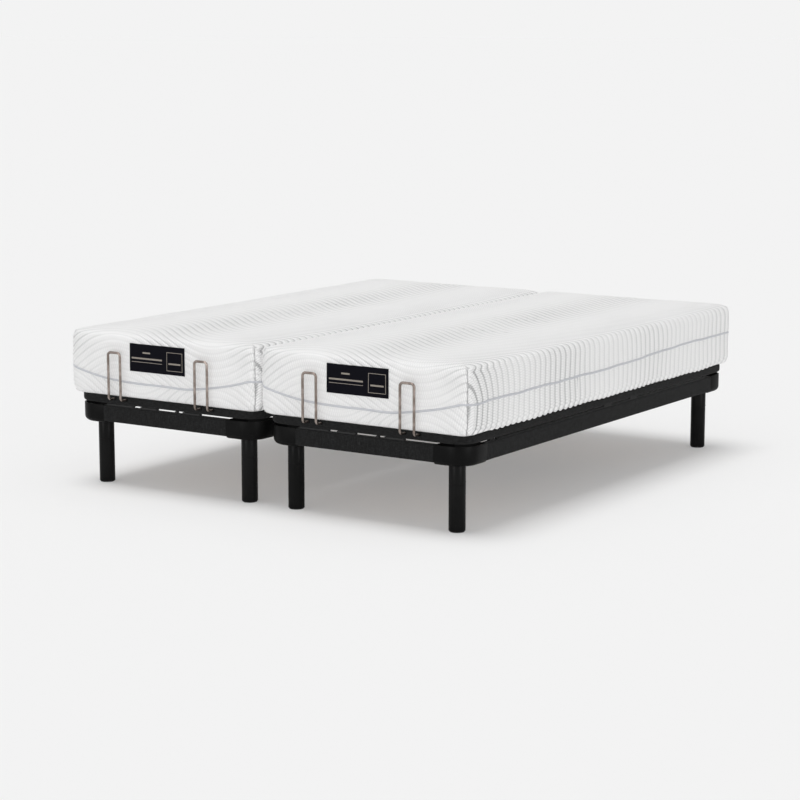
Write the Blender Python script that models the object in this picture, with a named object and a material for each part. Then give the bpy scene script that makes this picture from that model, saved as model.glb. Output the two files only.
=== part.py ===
"""Twin adjustable bed base: two motorised halves side by side, with their mattresses.

Metres, +Z up. The origin is on the floor under the middle of the bed's box; +Y points to the
head end and +X to the right of someone who stands at the foot end. Each half has a fixed lower
frame on four legs, and an upper frame of back, seat, thigh and calf sections that a dual motor
moves through two lift tubes. All pieces are modelled flat, with every section down on its stop.
"""
import math

import bmesh
import bpy
from mathutils import Matrix, Vector

# ---------------------------------------------------------------- driving dimensions
MATTRESS_WIDTH = 0.900
MATTRESS_LENGTH = 2.090
MATTRESS_THICKNESS = 0.256
MATTRESS_CORNER_RADIUS = 0.055
MATTRESS_EDGE_RADIUS = 0.024
MATTRESS_GAP = 0.003          # between the two mattresses
SECTION_GAP = 0.003           # between the sections of one mattress

LEG_HEIGHT = 0.2417
LEG_RADIUS = 0.030
LEG_INSET_X = 0.085           # leg axis to the lower frame's side
LEG_INSET_Y = 0.075           # leg axis to the lower frame's end
LEG_FOOT_BEVEL = 0.003

LOWER_INSET = 0.020           # mattress edge to the lower frame's outer face
RAIL_HEIGHT = 0.063
RAIL_DEPTH = 0.030
RAIL_WALL = 0.003
RAIL_EDGE_RADIUS = 0.006
CORNER_RADIUS = 0.080
CORNER_ARM = 0.057            # straight stretch of a corner piece past its rounding
CORNER_DROP = 0.008           # how far a corner piece hangs below the rails
CORNER_WALL = 0.006
CORNER_FLOOR = 0.012
CORNER_HULL = 0.020           # rounding of a corner piece's lower outer edge

FRAME_GAP = 0.009             # between the lower frame and the upper frame
UPPER_INSET = 0.020           # mattress edge to the upper frame's outer face
UPPER_HEIGHT = 0.030
UPPER_RAIL_WIDTH = 0.025
UPPER_CORNER_RADIUS = 0.075
UPPER_EDGE_ROUND = 0.006

BACK_LENGTH = 0.740
SEAT_LENGTH = 0.380
THIGH_LENGTH = 0.360
HINGE_END_GAP = 0.006         # from a hinge axis to the end of each rail that it joins
HINGE_FROM_FACE = 0.009       # hinge axis to the nearer face of the upper frame
EAR_RADIUS = 0.0086
HINGE_PIN_RADIUS = 0.004
HINGE_PIN_CLEARANCE = 0.0004
EAR_THICKNESS = 0.006
EAR_LENGTH = 0.070
EAR_SPACING = 0.0005          # between the two ears of a hinge
PIN_STANDOFF = 0.002          # how far a hinge pin shows past the inner ear

SLAT_WIDTH = 0.055
SLAT_THICKNESS = 0.008
SLAT_SET_WIDTH = 0.770
SLAT_STRIP_WIDTH = 0.030      # holder strip along each side of a slat set
SLAT_PITCH = 0.088
SLAT_HINGE_GAP = 0.012        # from a hinge axis to the first slat
SLAT_END_GAP = 0.034          # from an end bar to the last slat
CROSS_BAR_WIDTH = 0.030
TRACK_WIDTH = 0.034           # flat on which a lift roller runs
TRACK_HEIGHT = 0.012

LIFT_TUBE_RADIUS = 0.015
LIFT_TUBE_LENGTH = 0.756
LIFT_TUBE_CLEARANCE = 0.003   # from the upper frame's underside
BACK_TUBE_OFFSET = 0.0225     # tube axis past the back hinge
LEG_TUBE_OFFSET = 0.0123      # tube axis past the thigh hinge
LIFT_ARM_X = 0.250
LIFT_ARM_THICKNESS = 0.008
LIFT_ARM_HALF_DEPTH = 0.012
BACK_ARM_LENGTH = 0.220
LEG_ARM_LENGTH = 0.200
ROLLER_RADIUS = 0.012
ROLLER_WIDTH = 0.020
ROLLER_CLEARANCE = 0.0005
LEVER_LENGTH = 0.062
LEVER_WIDTH = 0.024
LEVER_THICKNESS = 0.020
BACK_LEVER_TILT = 35.0        # degrees from straight down, towards the motor
LEG_LEVER_TILT = 20.0
BEARING_THICKNESS = 0.006
BEARING_RADIUS = 0.024
BEARING_CLEARANCE = 0.0005
BEARING_X = 0.362

HOUSING_WIDTH = 0.160
HOUSING_BOTTOM = 0.205
HOUSING_TOP_CLEARANCE = 0.005
HOUSING_OVERHANG = 0.075      # housing past each lift tube's axis
HOUSING_SLOPE = 0.020
HOUSING_EDGE = 0.010
POCKET_WIDTH = 0.036
POCKET_HALF_LENGTH = 0.050
POCKET_FLOOR = 0.016

RETAINER_RADIUS = 0.005
RETAINER_WIDTH = 0.068
RETAINER_HEIGHT = 0.178       # above the upper frame
RETAINER_CLEARANCE = 0.008    # from the mattress's foot face
RETAINER_BEND = 0.014
RETAINER_X = 0.207            # each side of a half's centre
RETAINER_DROP = 0.0085         # upper frame's top to the axis of a retainer's socket
RETAINER_SOCKET_DEPTH = 0.015
RETAINER_SOCKET_CLEARANCE = 0.0004

BUFFER_WIDTH = 0.012
BUFFER_LENGTH = 0.030
BUFFER_FROM_END = 0.180       # buffer's middle to the end of the upper frame
BUFFER_CLEARANCE = 0.0005

LINK_LENGTH = 0.080
LINK_HEIGHT = 0.040
LINK_WALL = 0.004
LINK_Y = 0.700                # each way from the middle

TOUCH = 0.0003                # between pieces that rest on each other
OVERLAP = 0.001               # how far welded bars run into each other
ARC_STEPS = 7
SMALL_ARC_STEPS = 4
PIN_SIDES = 12
TUBE_SIDES = 20

# ---------------------------------------------------------------- sizes that follow
HALF_X = (MATTRESS_WIDTH + MATTRESS_GAP) / 2
CORNER_SPAN = CORNER_RADIUS + CORNER_ARM
LOWER_HALF_WIDTH = MATTRESS_WIDTH / 2 - LOWER_INSET
UPPER_HALF_WIDTH = MATTRESS_WIDTH / 2 - UPPER_INSET
RETAINER_PROUD = RETAINER_CLEARANCE + 2 * RETAINER_RADIUS
MIDDLE_Y = RETAINER_PROUD / 2
FOOT_FACE = MIDDLE_Y - MATTRESS_LENGTH / 2
HEAD_FACE = MIDDLE_Y + MATTRESS_LENGTH / 2
LOWER_FOOT = FOOT_FACE + LOWER_INSET
LOWER_HEAD = HEAD_FACE - LOWER_INSET
UPPER_FOOT = FOOT_FACE + UPPER_INSET
UPPER_HEAD = HEAD_FACE - UPPER_INSET

CORNER_BOTTOM = LEG_HEIGHT + TOUCH
RAIL_BOTTOM = CORNER_BOTTOM + CORNER_DROP
RAIL_TOP = RAIL_BOTTOM + RAIL_HEIGHT
UPPER_BOTTOM = RAIL_TOP + FRAME_GAP
UPPER_TOP = UPPER_BOTTOM + UPPER_HEIGHT
RETAINER_Z = UPPER_TOP - RETAINER_DROP
MATTRESS_BOTTOM = UPPER_TOP + TOUCH
MATTRESS_TOP = MATTRESS_BOTTOM + MATTRESS_THICKNESS

BACK_HINGE = (UPPER_HEAD - BACK_LENGTH, UPPER_TOP - HINGE_FROM_FACE)
THIGH_HINGE = (BACK_HINGE[0] - SEAT_LENGTH, UPPER_TOP - HINGE_FROM_FACE)
KNEE_HINGE = (THIGH_HINGE[0] - THIGH_LENGTH, UPPER_BOTTOM + HINGE_FROM_FACE)
TUBE_Z = UPPER_BOTTOM - LIFT_TUBE_CLEARANCE - LIFT_TUBE_RADIUS
BACK_TUBE = (BACK_HINGE[0] + BACK_TUBE_OFFSET, TUBE_Z)
LEG_TUBE = (THIGH_HINGE[0] - LEG_TUBE_OFFSET, TUBE_Z)

SLAT_TOP = UPPER_TOP - OVERLAP
SLAT_BOTTOM = SLAT_TOP - SLAT_THICKNESS
CROSS_BAR_TOP = SLAT_BOTTOM - TOUCH
RAIL_INNER_FACE = UPPER_HALF_WIDTH - UPPER_RAIL_WIDTH
EAR_OUTER = RAIL_INNER_FACE - EAR_SPACING
EAR_MIDDLE = EAR_OUTER - EAR_THICKNESS
EAR_INNER = EAR_MIDDLE - EAR_SPACING - EAR_THICKNESS

# ---------------------------------------------------------------- scene and materials
for old in list(bpy.data.objects):
    bpy.data.objects.remove(old)
bed = bpy.data.collections.new("adjustable_bed_base")
cutters = bpy.data.collections.new("cutters")
bpy.context.scene.collection.children.link(bed)
bpy.context.scene.collection.children.link(cutters)

FINISHES = {
    "charcoal_fabric": ((0.028, 0.028, 0.032), 0.90, 0.0),
    "black_plastic": ((0.016, 0.016, 0.018), 0.42, 0.0),
    "leg_lacquer": ((0.012, 0.012, 0.013), 0.38, 0.2),
    "dark_steel": ((0.060, 0.062, 0.066), 0.48, 0.8),
    "bright_rod": ((0.42, 0.41, 0.40), 0.25, 1.0),
    "beech_slat": ((0.62, 0.42, 0.24), 0.55, 0.0),
    "motor_plastic": ((0.030, 0.030, 0.033), 0.55, 0.0),
    "white_ticking": ((0.80, 0.80, 0.80), 0.88, 0.0),
}


def finish(name):
    """The named finish as a Principled material, made on first use."""
    if name in bpy.data.materials:
        return bpy.data.materials[name]
    colour, roughness, metallic = FINISHES[name]
    made = bpy.data.materials.new(name)
    made.use_nodes = True
    shader = made.node_tree.nodes["Principled BSDF"]
    shader.inputs["Base Color"].default_value = (*colour, 1.0)
    shader.inputs["Roughness"].default_value = roughness
    shader.inputs["Metallic"].default_value = metallic
    return made


# ---------------------------------------------------------------- shapes
def mesh_object(name, mesh):
    made = bpy.data.objects.new(name, mesh)
    cutters.objects.link(made)
    return made


def from_bmesh(name, shape):
    bmesh.ops.recalc_face_normals(shape, faces=shape.faces)
    mesh = bpy.data.meshes.new(name)
    shape.to_mesh(mesh)
    shape.free()
    return mesh_object(name, mesh)


def box(low, high):
    """A box between two corners."""
    low, high = Vector(low), Vector(high)
    size = high - low
    place = Matrix.Translation((low + high) / 2) @ Matrix.Diagonal((*size, 1))
    shape = bmesh.new()
    bmesh.ops.create_cube(shape, size=1, matrix=place)
    return from_bmesh("box", shape)


def rod_x(x0, x1, y, z, radius, sides=PIN_SIDES):
    """A round bar along X."""
    place = Matrix.Translation(((x0 + x1) / 2, y, z)) @ Matrix.Rotation(math.radians(90), 4, "Y")
    shape = bmesh.new()
    bmesh.ops.create_cone(shape, cap_ends=True, segments=sides, radius1=radius, radius2=radius,
                          depth=abs(x1 - x0), matrix=place)
    return from_bmesh("rod", shape)


def rod_y(x, y0, y1, z, radius, sides=PIN_SIDES):
    """A round bar along Y."""
    place = Matrix.Translation((x, (y0 + y1) / 2, z)) @ Matrix.Rotation(math.radians(90), 4, "X")
    shape = bmesh.new()
    bmesh.ops.create_cone(shape, cap_ends=True, segments=sides, radius1=radius, radius2=radius,
                          depth=abs(y1 - y0), matrix=place)
    return from_bmesh("rod", shape)


def arc(u, v, radius, start, end, steps=ARC_STEPS):
    """Points of an arc in a plane, from one angle in degrees to another."""
    angles = [math.radians(start + (end - start) * i / steps) for i in range(steps + 1)]
    return [(u + radius * math.cos(a), v + radius * math.sin(a)) for a in angles]


def round_rectangle(u0, u1, v0, v1, radii, steps=ARC_STEPS):
    """A rectangle's outline with a radius at each corner, anticlockwise from its low corner."""
    corners = ((u0, v0, 180), (u1, v0, 270), (u1, v1, 0), (u0, v1, 90))
    points = []
    for (u, v, angle), radius in zip(corners, radii):
        if radius == 0:
            points.append((u, v))
            continue
        centre_u = u + radius if u == u0 else u - radius
        centre_v = v + radius if v == v0 else v - radius
        points += arc(centre_u, centre_v, radius, angle, angle + 90, steps)
    return points


AXES = {
    "X": Matrix(((0, 0, 1), (1, 0, 0), (0, 1, 0))),
    "Y": Matrix(((1, 0, 0), (0, 0, -1), (0, 1, 0))),
    "Z": Matrix.Identity(3),
}


def prism(outlines, axis, start, end):
    """A flat outline, with any holes after it, given thickness along an axis."""
    curve = bpy.data.curves.new("outline", "CURVE")
    curve.dimensions = "2D"
    curve.fill_mode = "BOTH"
    curve.extrude = abs(end - start) / 2
    for outline in outlines:
        spline = curve.splines.new("POLY")
        spline.points.add(len(outline) - 1)
        for point, (u, v) in zip(spline.points, outline):
            point.co = (u, v, 0, 1)
        spline.use_cyclic_u = True
    drawn = bpy.data.objects.new("outline", curve)
    cutters.objects.link(drawn)
    middle = Vector([(start + end) / 2 if letter == axis else 0 for letter in "XYZ"])
    drawn.matrix_world = Matrix.Translation(middle) @ AXES[axis].to_4x4()
    bpy.context.view_layer.update()
    ready = drawn.evaluated_get(bpy.context.evaluated_depsgraph_get())
    mesh = bpy.data.meshes.new_from_object(ready)
    mesh.transform(drawn.matrix_world)
    bpy.data.objects.remove(drawn)
    shape = bmesh.new()
    shape.from_mesh(mesh)
    bmesh.ops.remove_doubles(shape, verts=shape.verts, dist=0.00002)
    return from_bmesh("prism", shape)


def combine(base, others, operation):
    """The base joined with, or cut by, each of the others, which are used up."""
    for other in others:
        other.hide_render = True
        other.display_type = "WIRE"
        change = base.modifiers.new("combine", "BOOLEAN")
        change.operation = operation
        change.object = other
        change.solver = "EXACT"
    bpy.context.view_layer.update()
    ready = base.evaluated_get(bpy.context.evaluated_depsgraph_get())
    mesh = bpy.data.meshes.new_from_object(ready)
    for used in (base, *others):
        bpy.data.objects.remove(used)
    shape = bmesh.new()
    shape.from_mesh(mesh)
    bmesh.ops.remove_doubles(shape, verts=shape.verts, dist=0.00001)
    bmesh.ops.dissolve_limit(shape, angle_limit=math.radians(0.5), verts=shape.verts, edges=shape.edges)
    return from_bmesh("combined", shape)


def round_edges(piece, chosen, width, steps):
    """Rounds each edge for which chosen(edge) is true."""
    shape = bmesh.new()
    shape.from_mesh(piece.data)
    bmesh.ops.dissolve_limit(shape, angle_limit=math.radians(0.5), verts=shape.verts, edges=shape.edges)
    edges = [edge for edge in shape.edges if chosen(edge)]
    bmesh.ops.bevel(shape, geom=edges, offset=width, segments=steps, profile=0.5, affect="EDGES")
    bpy.data.objects.remove(piece)
    return from_bmesh("rounded", shape)


def place(name, piece, finish_name, parent, half_x=0.0):
    """Names a finished piece, moves it to its half and hangs it on its empty, which is its origin."""
    cutters.objects.unlink(piece)
    bed.objects.link(piece)
    piece.name = name
    piece.data.name = name
    piece.data.materials.clear()
    piece.data.materials.append(finish(finish_name))
    origin = parent.matrix_world.translation
    piece.data.transform(Matrix.Translation(Vector((half_x, 0, 0)) - origin))
    piece.parent = parent
    piece.data.shade_smooth()
    piece.data.set_sharp_from_angle(angle=math.radians(35))


def joint_empty(name, x, y, z, parent=None):
    """An empty on a joint's axis."""
    made = bpy.data.objects.new(name, None)
    made.empty_display_size = 0.05
    bed.objects.link(made)
    made.location = (x, y, z)
    if parent:
        made.parent = parent
        made.location = Vector((x, y, z)) - parent.matrix_world.translation
    bpy.context.view_layer.update()
    return made


def both_sides(make):
    """What make(side) gives, for the left side and the right."""
    return [piece for side in (-1, 1) for piece in make(side)]


def span(side, inner, outer):
    """Low and high x of something between two distances from the centre, on one side."""
    return (inner, outer) if side > 0 else (-outer, -inner)


# ---------------------------------------------------------------- lower frame
def lower_rail(axis, start, end, at, side):
    """A rail of the lower frame: a rectangular tube with its outer face at `at`."""
    inner = at - side * RAIL_DEPTH
    u0, u1 = min(at, inner), max(at, inner)
    outside = round_rectangle(u0, u1, RAIL_BOTTOM, RAIL_TOP, [RAIL_EDGE_RADIUS] * 4, 3)
    inside = round_rectangle(u0 + RAIL_WALL, u1 - RAIL_WALL, RAIL_BOTTOM + RAIL_WALL,
                             RAIL_TOP - RAIL_WALL, [0] * 4)
    return prism([outside, inside], axis, start, end)


def corner_piece(side, end):
    """A moulded corner: a rounded block, open from above, that holds two rails and a leg."""
    x_out = side * LOWER_HALF_WIDTH
    y_out = LOWER_HEAD if end > 0 else LOWER_FOOT
    x_in, y_in = x_out - side * CORNER_SPAN, y_out - end * CORNER_SPAN
    x0, x1 = sorted((x_in, x_out))
    y0, y1 = sorted((y_in, y_out))
    order = ((-1, -1), (1, -1), (1, 1), (-1, 1))
    radii = [CORNER_RADIUS if (side, end) == place_ else 0 for place_ in order]
    block = prism([round_rectangle(x0, x1, y0, y1, radii)], "Z", CORNER_BOTTOM, RAIL_TOP)

    def lower_outer(edge):
        a, b = (vert.co for vert in edge.verts)
        middle = (a + b) / 2
        low = max(a.z, b.z) < CORNER_BOTTOM + TOUCH
        joint_face = (abs(a.x - x_in) < TOUCH and abs(b.x - x_in) < TOUCH) or (
            abs(a.y - y_in) < TOUCH and abs(b.y - y_in) < TOUCH)
        return low and not joint_face and middle.z < RAIL_BOTTOM

    block = round_edges(block, lower_outer, CORNER_HULL, 3)
    wall_radii = [max(radius - CORNER_WALL, 0) for radius in radii]
    pocket = prism([round_rectangle(x0 + CORNER_WALL, x1 - CORNER_WALL, y0 + CORNER_WALL,
                                    y1 - CORNER_WALL, wall_radii)],
                   "Z", CORNER_BOTTOM + CORNER_FLOOR + CORNER_HULL / 2, RAIL_TOP + OVERLAP)
    return combine(block, [pocket], "DIFFERENCE")


def leg(side, end):
    """A round leg with a small bevel at the floor."""
    x = side * (LOWER_HALF_WIDTH - LEG_INSET_X)
    y = LOWER_HEAD - LEG_INSET_Y if end > 0 else LOWER_FOOT + LEG_INSET_Y
    shape = bmesh.new()
    bmesh.ops.create_cone(shape, cap_ends=True, segments=24, radius1=LEG_RADIUS, radius2=LEG_RADIUS,
                          depth=LEG_HEIGHT, matrix=Matrix.Translation((x, y, LEG_HEIGHT / 2)))
    foot = [edge for edge in shape.edges if max(vert.co.z for vert in edge.verts) < TOUCH]
    bmesh.ops.bevel(shape, geom=foot, offset=LEG_FOOT_BEVEL, segments=1, affect="EDGES")
    return from_bmesh("leg", shape)


# ---------------------------------------------------------------- upper frame
def side_rail(side, y0, y1):
    x0, x1 = span(side, RAIL_INNER_FACE, UPPER_HALF_WIDTH)
    outline = round_rectangle(x0, x1, UPPER_BOTTOM, UPPER_TOP, [UPPER_EDGE_ROUND] * 4, 1)
    return prism([outline], "Y", y0, y1)


def end_hoop(end, open_y, end_y):
    """Two side rails and the end bar between them, as one bent bar with rounded corners."""
    x0, x1 = -UPPER_HALF_WIDTH, UPPER_HALF_WIDTH
    wall = UPPER_RAIL_WIDTH
    outer, inner = UPPER_CORNER_RADIUS, UPPER_CORNER_RADIUS - wall
    if end > 0:
        outline = ([(x0, open_y)] + [(x0 + wall, open_y)]
                   + arc(x0 + outer, end_y - outer, inner, 180, 90)
                   + arc(x1 - outer, end_y - outer, inner, 90, 0)
                   + [(x1 - wall, open_y), (x1, open_y)]
                   + arc(x1 - outer, end_y - outer, outer, 0, 90)
                   + arc(x0 + outer, end_y - outer, outer, 90, 180))
    else:
        outline = ([(x0, open_y)]
                   + arc(x0 + outer, end_y + outer, outer, 180, 270)
                   + arc(x1 - outer, end_y + outer, outer, 270, 360)
                   + [(x1, open_y), (x1 - wall, open_y)]
                   + arc(x1 - outer, end_y + outer, inner, 360, 270)
                   + arc(x0 + outer, end_y + outer, inner, 270, 180)
                   + [(x0 + wall, open_y)])
    bar = prism([outline], "Z", UPPER_BOTTOM, UPPER_TOP)

    def lengthwise(edge):
        a, b = (vert.co for vert in edge.verts)
        flat = abs(a.z - b.z) < TOUCH
        at_opening = abs(a.y - open_y) < TOUCH and abs(b.y - open_y) < TOUCH
        return flat and not at_opening

    return round_edges(bar, lengthwise, UPPER_EDGE_ROUND, 1)


def cross_bar(y):
    """A flat bar across a section, on which its slats rest."""
    reach = RAIL_INNER_FACE + OVERLAP
    half = CROSS_BAR_WIDTH / 2
    return box((-reach, y - half, UPPER_BOTTOM), (reach, y + half, CROSS_BAR_TOP))


def track(side, y0, y1):
    """The flat that a lift roller runs along, between two cross bars."""
    x0, x1 = span(side, LIFT_ARM_X - TRACK_WIDTH / 2, LIFT_ARM_X + TRACK_WIDTH / 2)
    return box((x0, y0, UPPER_BOTTOM), (x1, y1, UPPER_BOTTOM + TRACK_HEIGHT))


def ear(side, hinge, towards, x_inner, x_outer):
    """A hinge ear: round about the pin, and running along its rail to one side."""
    y, z = hinge
    radius = EAR_RADIUS
    end_y = y + towards * EAR_LENGTH
    if towards > 0:
        outline = arc(y, z, radius, 90, 270, SMALL_ARC_STEPS) + [(end_y, z - radius), (end_y, z + radius)]
    else:
        outline = arc(y, z, radius, -90, 90, SMALL_ARC_STEPS) + [(end_y, z + radius), (end_y, z - radius)]
    return prism([outline], "X", *span(side, x_inner, x_outer))


def ear_spacer(side, hinge, towards, x_ear):
    """The block that holds an ear off its rail."""
    y, z = hinge
    near, far = sorted((y + towards * EAR_LENGTH / 3, y + towards * (EAR_LENGTH - OVERLAP)))
    x0, x1 = span(side, x_ear, RAIL_INNER_FACE + OVERLAP)
    radius = EAR_RADIUS - OVERLAP
    return box((x0, near, z - radius), (x1, far, z + radius))


def pin_ears(hinge, towards):
    """The ears that carry the pins, next to their rails."""
    y, z = hinge
    inner_end = EAR_INNER - PIN_STANDOFF
    return both_sides(lambda side: [
        ear(side, hinge, towards, EAR_MIDDLE, EAR_OUTER),
        ear_spacer(side, hinge, towards, EAR_OUTER - OVERLAP),
        rod_x(*span(side, inner_end, EAR_MIDDLE + OVERLAP), y, z, HINGE_PIN_RADIUS),
    ])


def hole_ears(hinge, towards):
    """The ears that turn on the pins, further in."""
    return both_sides(lambda side: [
        ear(side, hinge, towards, EAR_INNER, EAR_MIDDLE - EAR_SPACING),
        ear_spacer(side, hinge, towards, EAR_INNER + OVERLAP),
    ])


def pin_holes(hinge):
    y, z = hinge
    radius = HINGE_PIN_RADIUS + HINGE_PIN_CLEARANCE
    return both_sides(lambda side: [
        rod_x(*span(side, EAR_INNER - OVERLAP, EAR_MIDDLE + OVERLAP), y, z, radius)])


def bearing(side, tube, bar_y):
    """A plate that hangs from a cross bar and carries one end of a lift tube."""
    y, z = tube
    half = CROSS_BAR_WIDTH / 2
    if y > bar_y:
        outline = ([(bar_y - half, CROSS_BAR_TOP - OVERLAP), (bar_y - half, UPPER_BOTTOM)]
                   + arc(y, z, BEARING_RADIUS, 225, 405)
                   + [(bar_y + half, CROSS_BAR_TOP - OVERLAP)])
    else:
        outline = ([(bar_y + half, CROSS_BAR_TOP - OVERLAP), (bar_y - half, CROSS_BAR_TOP - OVERLAP)]
                   + arc(y, z, BEARING_RADIUS, 135, 315)
                   + [(bar_y + half, UPPER_BOTTOM)])
    return prism([outline], "X", *span(side, BEARING_X, BEARING_X + BEARING_THICKNESS))


def bearing_hole(side, tube):
    y, z = tube
    x0, x1 = span(side, BEARING_X - OVERLAP, BEARING_X + BEARING_THICKNESS + OVERLAP)
    return rod_x(x0, x1, y, z, LIFT_TUBE_RADIUS + BEARING_CLEARANCE, TUBE_SIDES)


def spacer(side, y):
    """A block that seats the fixed section on a side rail of the lower frame."""
    x0, x1 = span(side, RAIL_INNER_FACE + OVERLAP, LOWER_HALF_WIDTH)
    half = CROSS_BAR_WIDTH
    return box((x0, y - half, RAIL_TOP + TOUCH), (x1, y + half, UPPER_BOTTOM + UPPER_EDGE_ROUND))


def rest_buffer(side, y):
    """A rubber block under a moving section that rests just above a lower side rail."""
    inner = RAIL_INNER_FACE + UPPER_EDGE_ROUND - OVERLAP
    x0, x1 = span(side, inner, inner + BUFFER_WIDTH)
    half = BUFFER_LENGTH / 2
    return box((x0, y - half, RAIL_TOP + BUFFER_CLEARANCE), (x1, y + half, UPPER_BOTTOM + OVERLAP * 2))


SEAT_BARS = (BACK_HINGE[0] - 0.085, THIGH_HINGE[0] + 0.085)
BACK_BARS = (BACK_HINGE[0] + 0.125, BACK_HINGE[0] + 0.315, UPPER_HEAD - 0.100)
THIGH_BARS = tuple(THIGH_HINGE[0] - step for step in (0.100, 0.290))
CALF_BARS = (KNEE_HINGE[0] - 0.110, UPPER_FOOT + 0.130)


def seat_frame():
    """The fixed section: two rails, two cross bars, the hinge pins and the tube bearings."""
    y0, y1 = THIGH_HINGE[0] + HINGE_END_GAP, BACK_HINGE[0] - HINGE_END_GAP
    rails = both_sides(lambda side: [side_rail(side, y0, y1)])
    parts = [cross_bar(y) for y in SEAT_BARS]
    parts += pin_ears(BACK_HINGE, -1) + pin_ears(THIGH_HINGE, 1)
    parts += both_sides(lambda side: [spacer(side, y) for y in SEAT_BARS])
    parts += both_sides(lambda side: [bearing(side, BACK_TUBE, SEAT_BARS[0]),
                                      bearing(side, LEG_TUBE, SEAT_BARS[1])])
    whole = combine(rails[0], rails[1:] + parts, "UNION")
    holes = both_sides(lambda side: [bearing_hole(side, BACK_TUBE), bearing_hole(side, LEG_TUBE)])
    return combine(whole, holes, "DIFFERENCE")


def back_frame():
    """The back section: a hoop round the head end, with hinge ears and the roller tracks."""
    hoop = end_hoop(1, BACK_HINGE[0] + HINGE_END_GAP, UPPER_HEAD)
    parts = [cross_bar(y) for y in BACK_BARS] + hole_ears(BACK_HINGE, 1)
    parts += both_sides(lambda side: [track(side, BACK_BARS[0], BACK_BARS[1]),
                                      rest_buffer(side, UPPER_HEAD - BUFFER_FROM_END)])
    return combine(combine(hoop, parts, "UNION"), pin_holes(BACK_HINGE), "DIFFERENCE")


def thigh_frame():
    """The thigh section: two rails between the thigh hinge and the knee hinge."""
    y0, y1 = KNEE_HINGE[0] + HINGE_END_GAP, THIGH_HINGE[0] - HINGE_END_GAP
    rails = both_sides(lambda side: [side_rail(side, y0, y1)])
    parts = [cross_bar(y) for y in THIGH_BARS]
    parts += hole_ears(THIGH_HINGE, -1) + pin_ears(KNEE_HINGE, 1)
    parts += both_sides(lambda side: [track(side, THIGH_BARS[1], THIGH_BARS[0])])
    whole = combine(rails[0], rails[1:] + parts, "UNION")
    return combine(whole, pin_holes(THIGH_HINGE), "DIFFERENCE")


def calf_frame():
    """The calf section: a hoop round the foot end, bored for the mattress retainers."""
    hoop = end_hoop(-1, KNEE_HINGE[0] - HINGE_END_GAP, UPPER_FOOT)
    parts = [cross_bar(y) for y in CALF_BARS] + hole_ears(KNEE_HINGE, -1)
    parts += both_sides(lambda side: [rest_buffer(side, UPPER_FOOT + BUFFER_FROM_END)])
    radius = RETAINER_RADIUS + RETAINER_SOCKET_CLEARANCE
    reach = RETAINER_WIDTH / 2 - RETAINER_RADIUS
    z = RETAINER_Z
    sockets = [rod_y(side * RETAINER_X + leg_side * reach, UPPER_FOOT - OVERLAP,
                     UPPER_FOOT + RETAINER_SOCKET_DEPTH, z, radius)
               for side in (-1, 1) for leg_side in (-1, 1)]
    return combine(combine(hoop, parts, "UNION"), pin_holes(KNEE_HINGE) + sockets, "DIFFERENCE")


def slat_set(y0, y1, count):
    """Sprung slats between two holder strips, as one flat lattice."""
    half = SLAT_SET_WIDTH / 2
    inner = half - SLAT_STRIP_WIDTH
    pitch = (y1 - y0 - SLAT_WIDTH) / (count - 1)
    gaps = [round_rectangle(-inner, inner, y0 + pitch * i + SLAT_WIDTH, y0 + pitch * (i + 1), [0] * 4)
            for i in range(count - 1)]
    outside = round_rectangle(-half, half, y0, y1, [0] * 4)
    return prism([outside] + gaps, "Z", SLAT_BOTTOM, SLAT_TOP)


def slat_count(length):
    return max(2, round(length / SLAT_PITCH))


# ---------------------------------------------------------------- motor and lift tubes
def lift_tube(tube, towards, arm_length, lever_tilt):
    """A cross tube with two roller arms and, in the middle, the lever that the motor pushes."""
    y, z = tube
    roller_z = UPPER_BOTTOM - ROLLER_CLEARANCE - ROLLER_RADIUS
    roller_y = y + towards * arm_length
    shaft = rod_x(-LIFT_TUBE_LENGTH / 2, LIFT_TUBE_LENGTH / 2, y, z, LIFT_TUBE_RADIUS,
                  TUBE_SIDES)
    near, far = (90, 270) if towards > 0 else (270, 450)

    def arm(side):
        x0, x1 = span(side, LIFT_ARM_X - ROLLER_WIDTH / 2 - LIFT_ARM_THICKNESS,
                      LIFT_ARM_X - ROLLER_WIDTH / 2)
        outline = (arc(y, z, LIFT_ARM_HALF_DEPTH, near, far, SMALL_ARC_STEPS)
                   + arc(roller_y, roller_z, LIFT_ARM_HALF_DEPTH / 2, far, far + 180,
                         SMALL_ARC_STEPS))
        roller = rod_x(*span(side, LIFT_ARM_X - ROLLER_WIDTH / 2 - OVERLAP,
                             LIFT_ARM_X + ROLLER_WIDTH / 2), roller_y, roller_z, ROLLER_RADIUS)
        return [prism([outline], "X", x0, x1), roller]

    lean = Matrix.Rotation(math.radians(-towards * lever_tilt), 4, "X")
    lever = box((-LEVER_THICKNESS / 2, -LEVER_WIDTH / 2, -LEVER_LENGTH),
                (LEVER_THICKNESS / 2, LEVER_WIDTH / 2, 0))
    lever.data.transform(Matrix.Translation((0, y, z)) @ lean)
    return combine(shaft, both_sides(arm) + [lever], "UNION")


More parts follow.
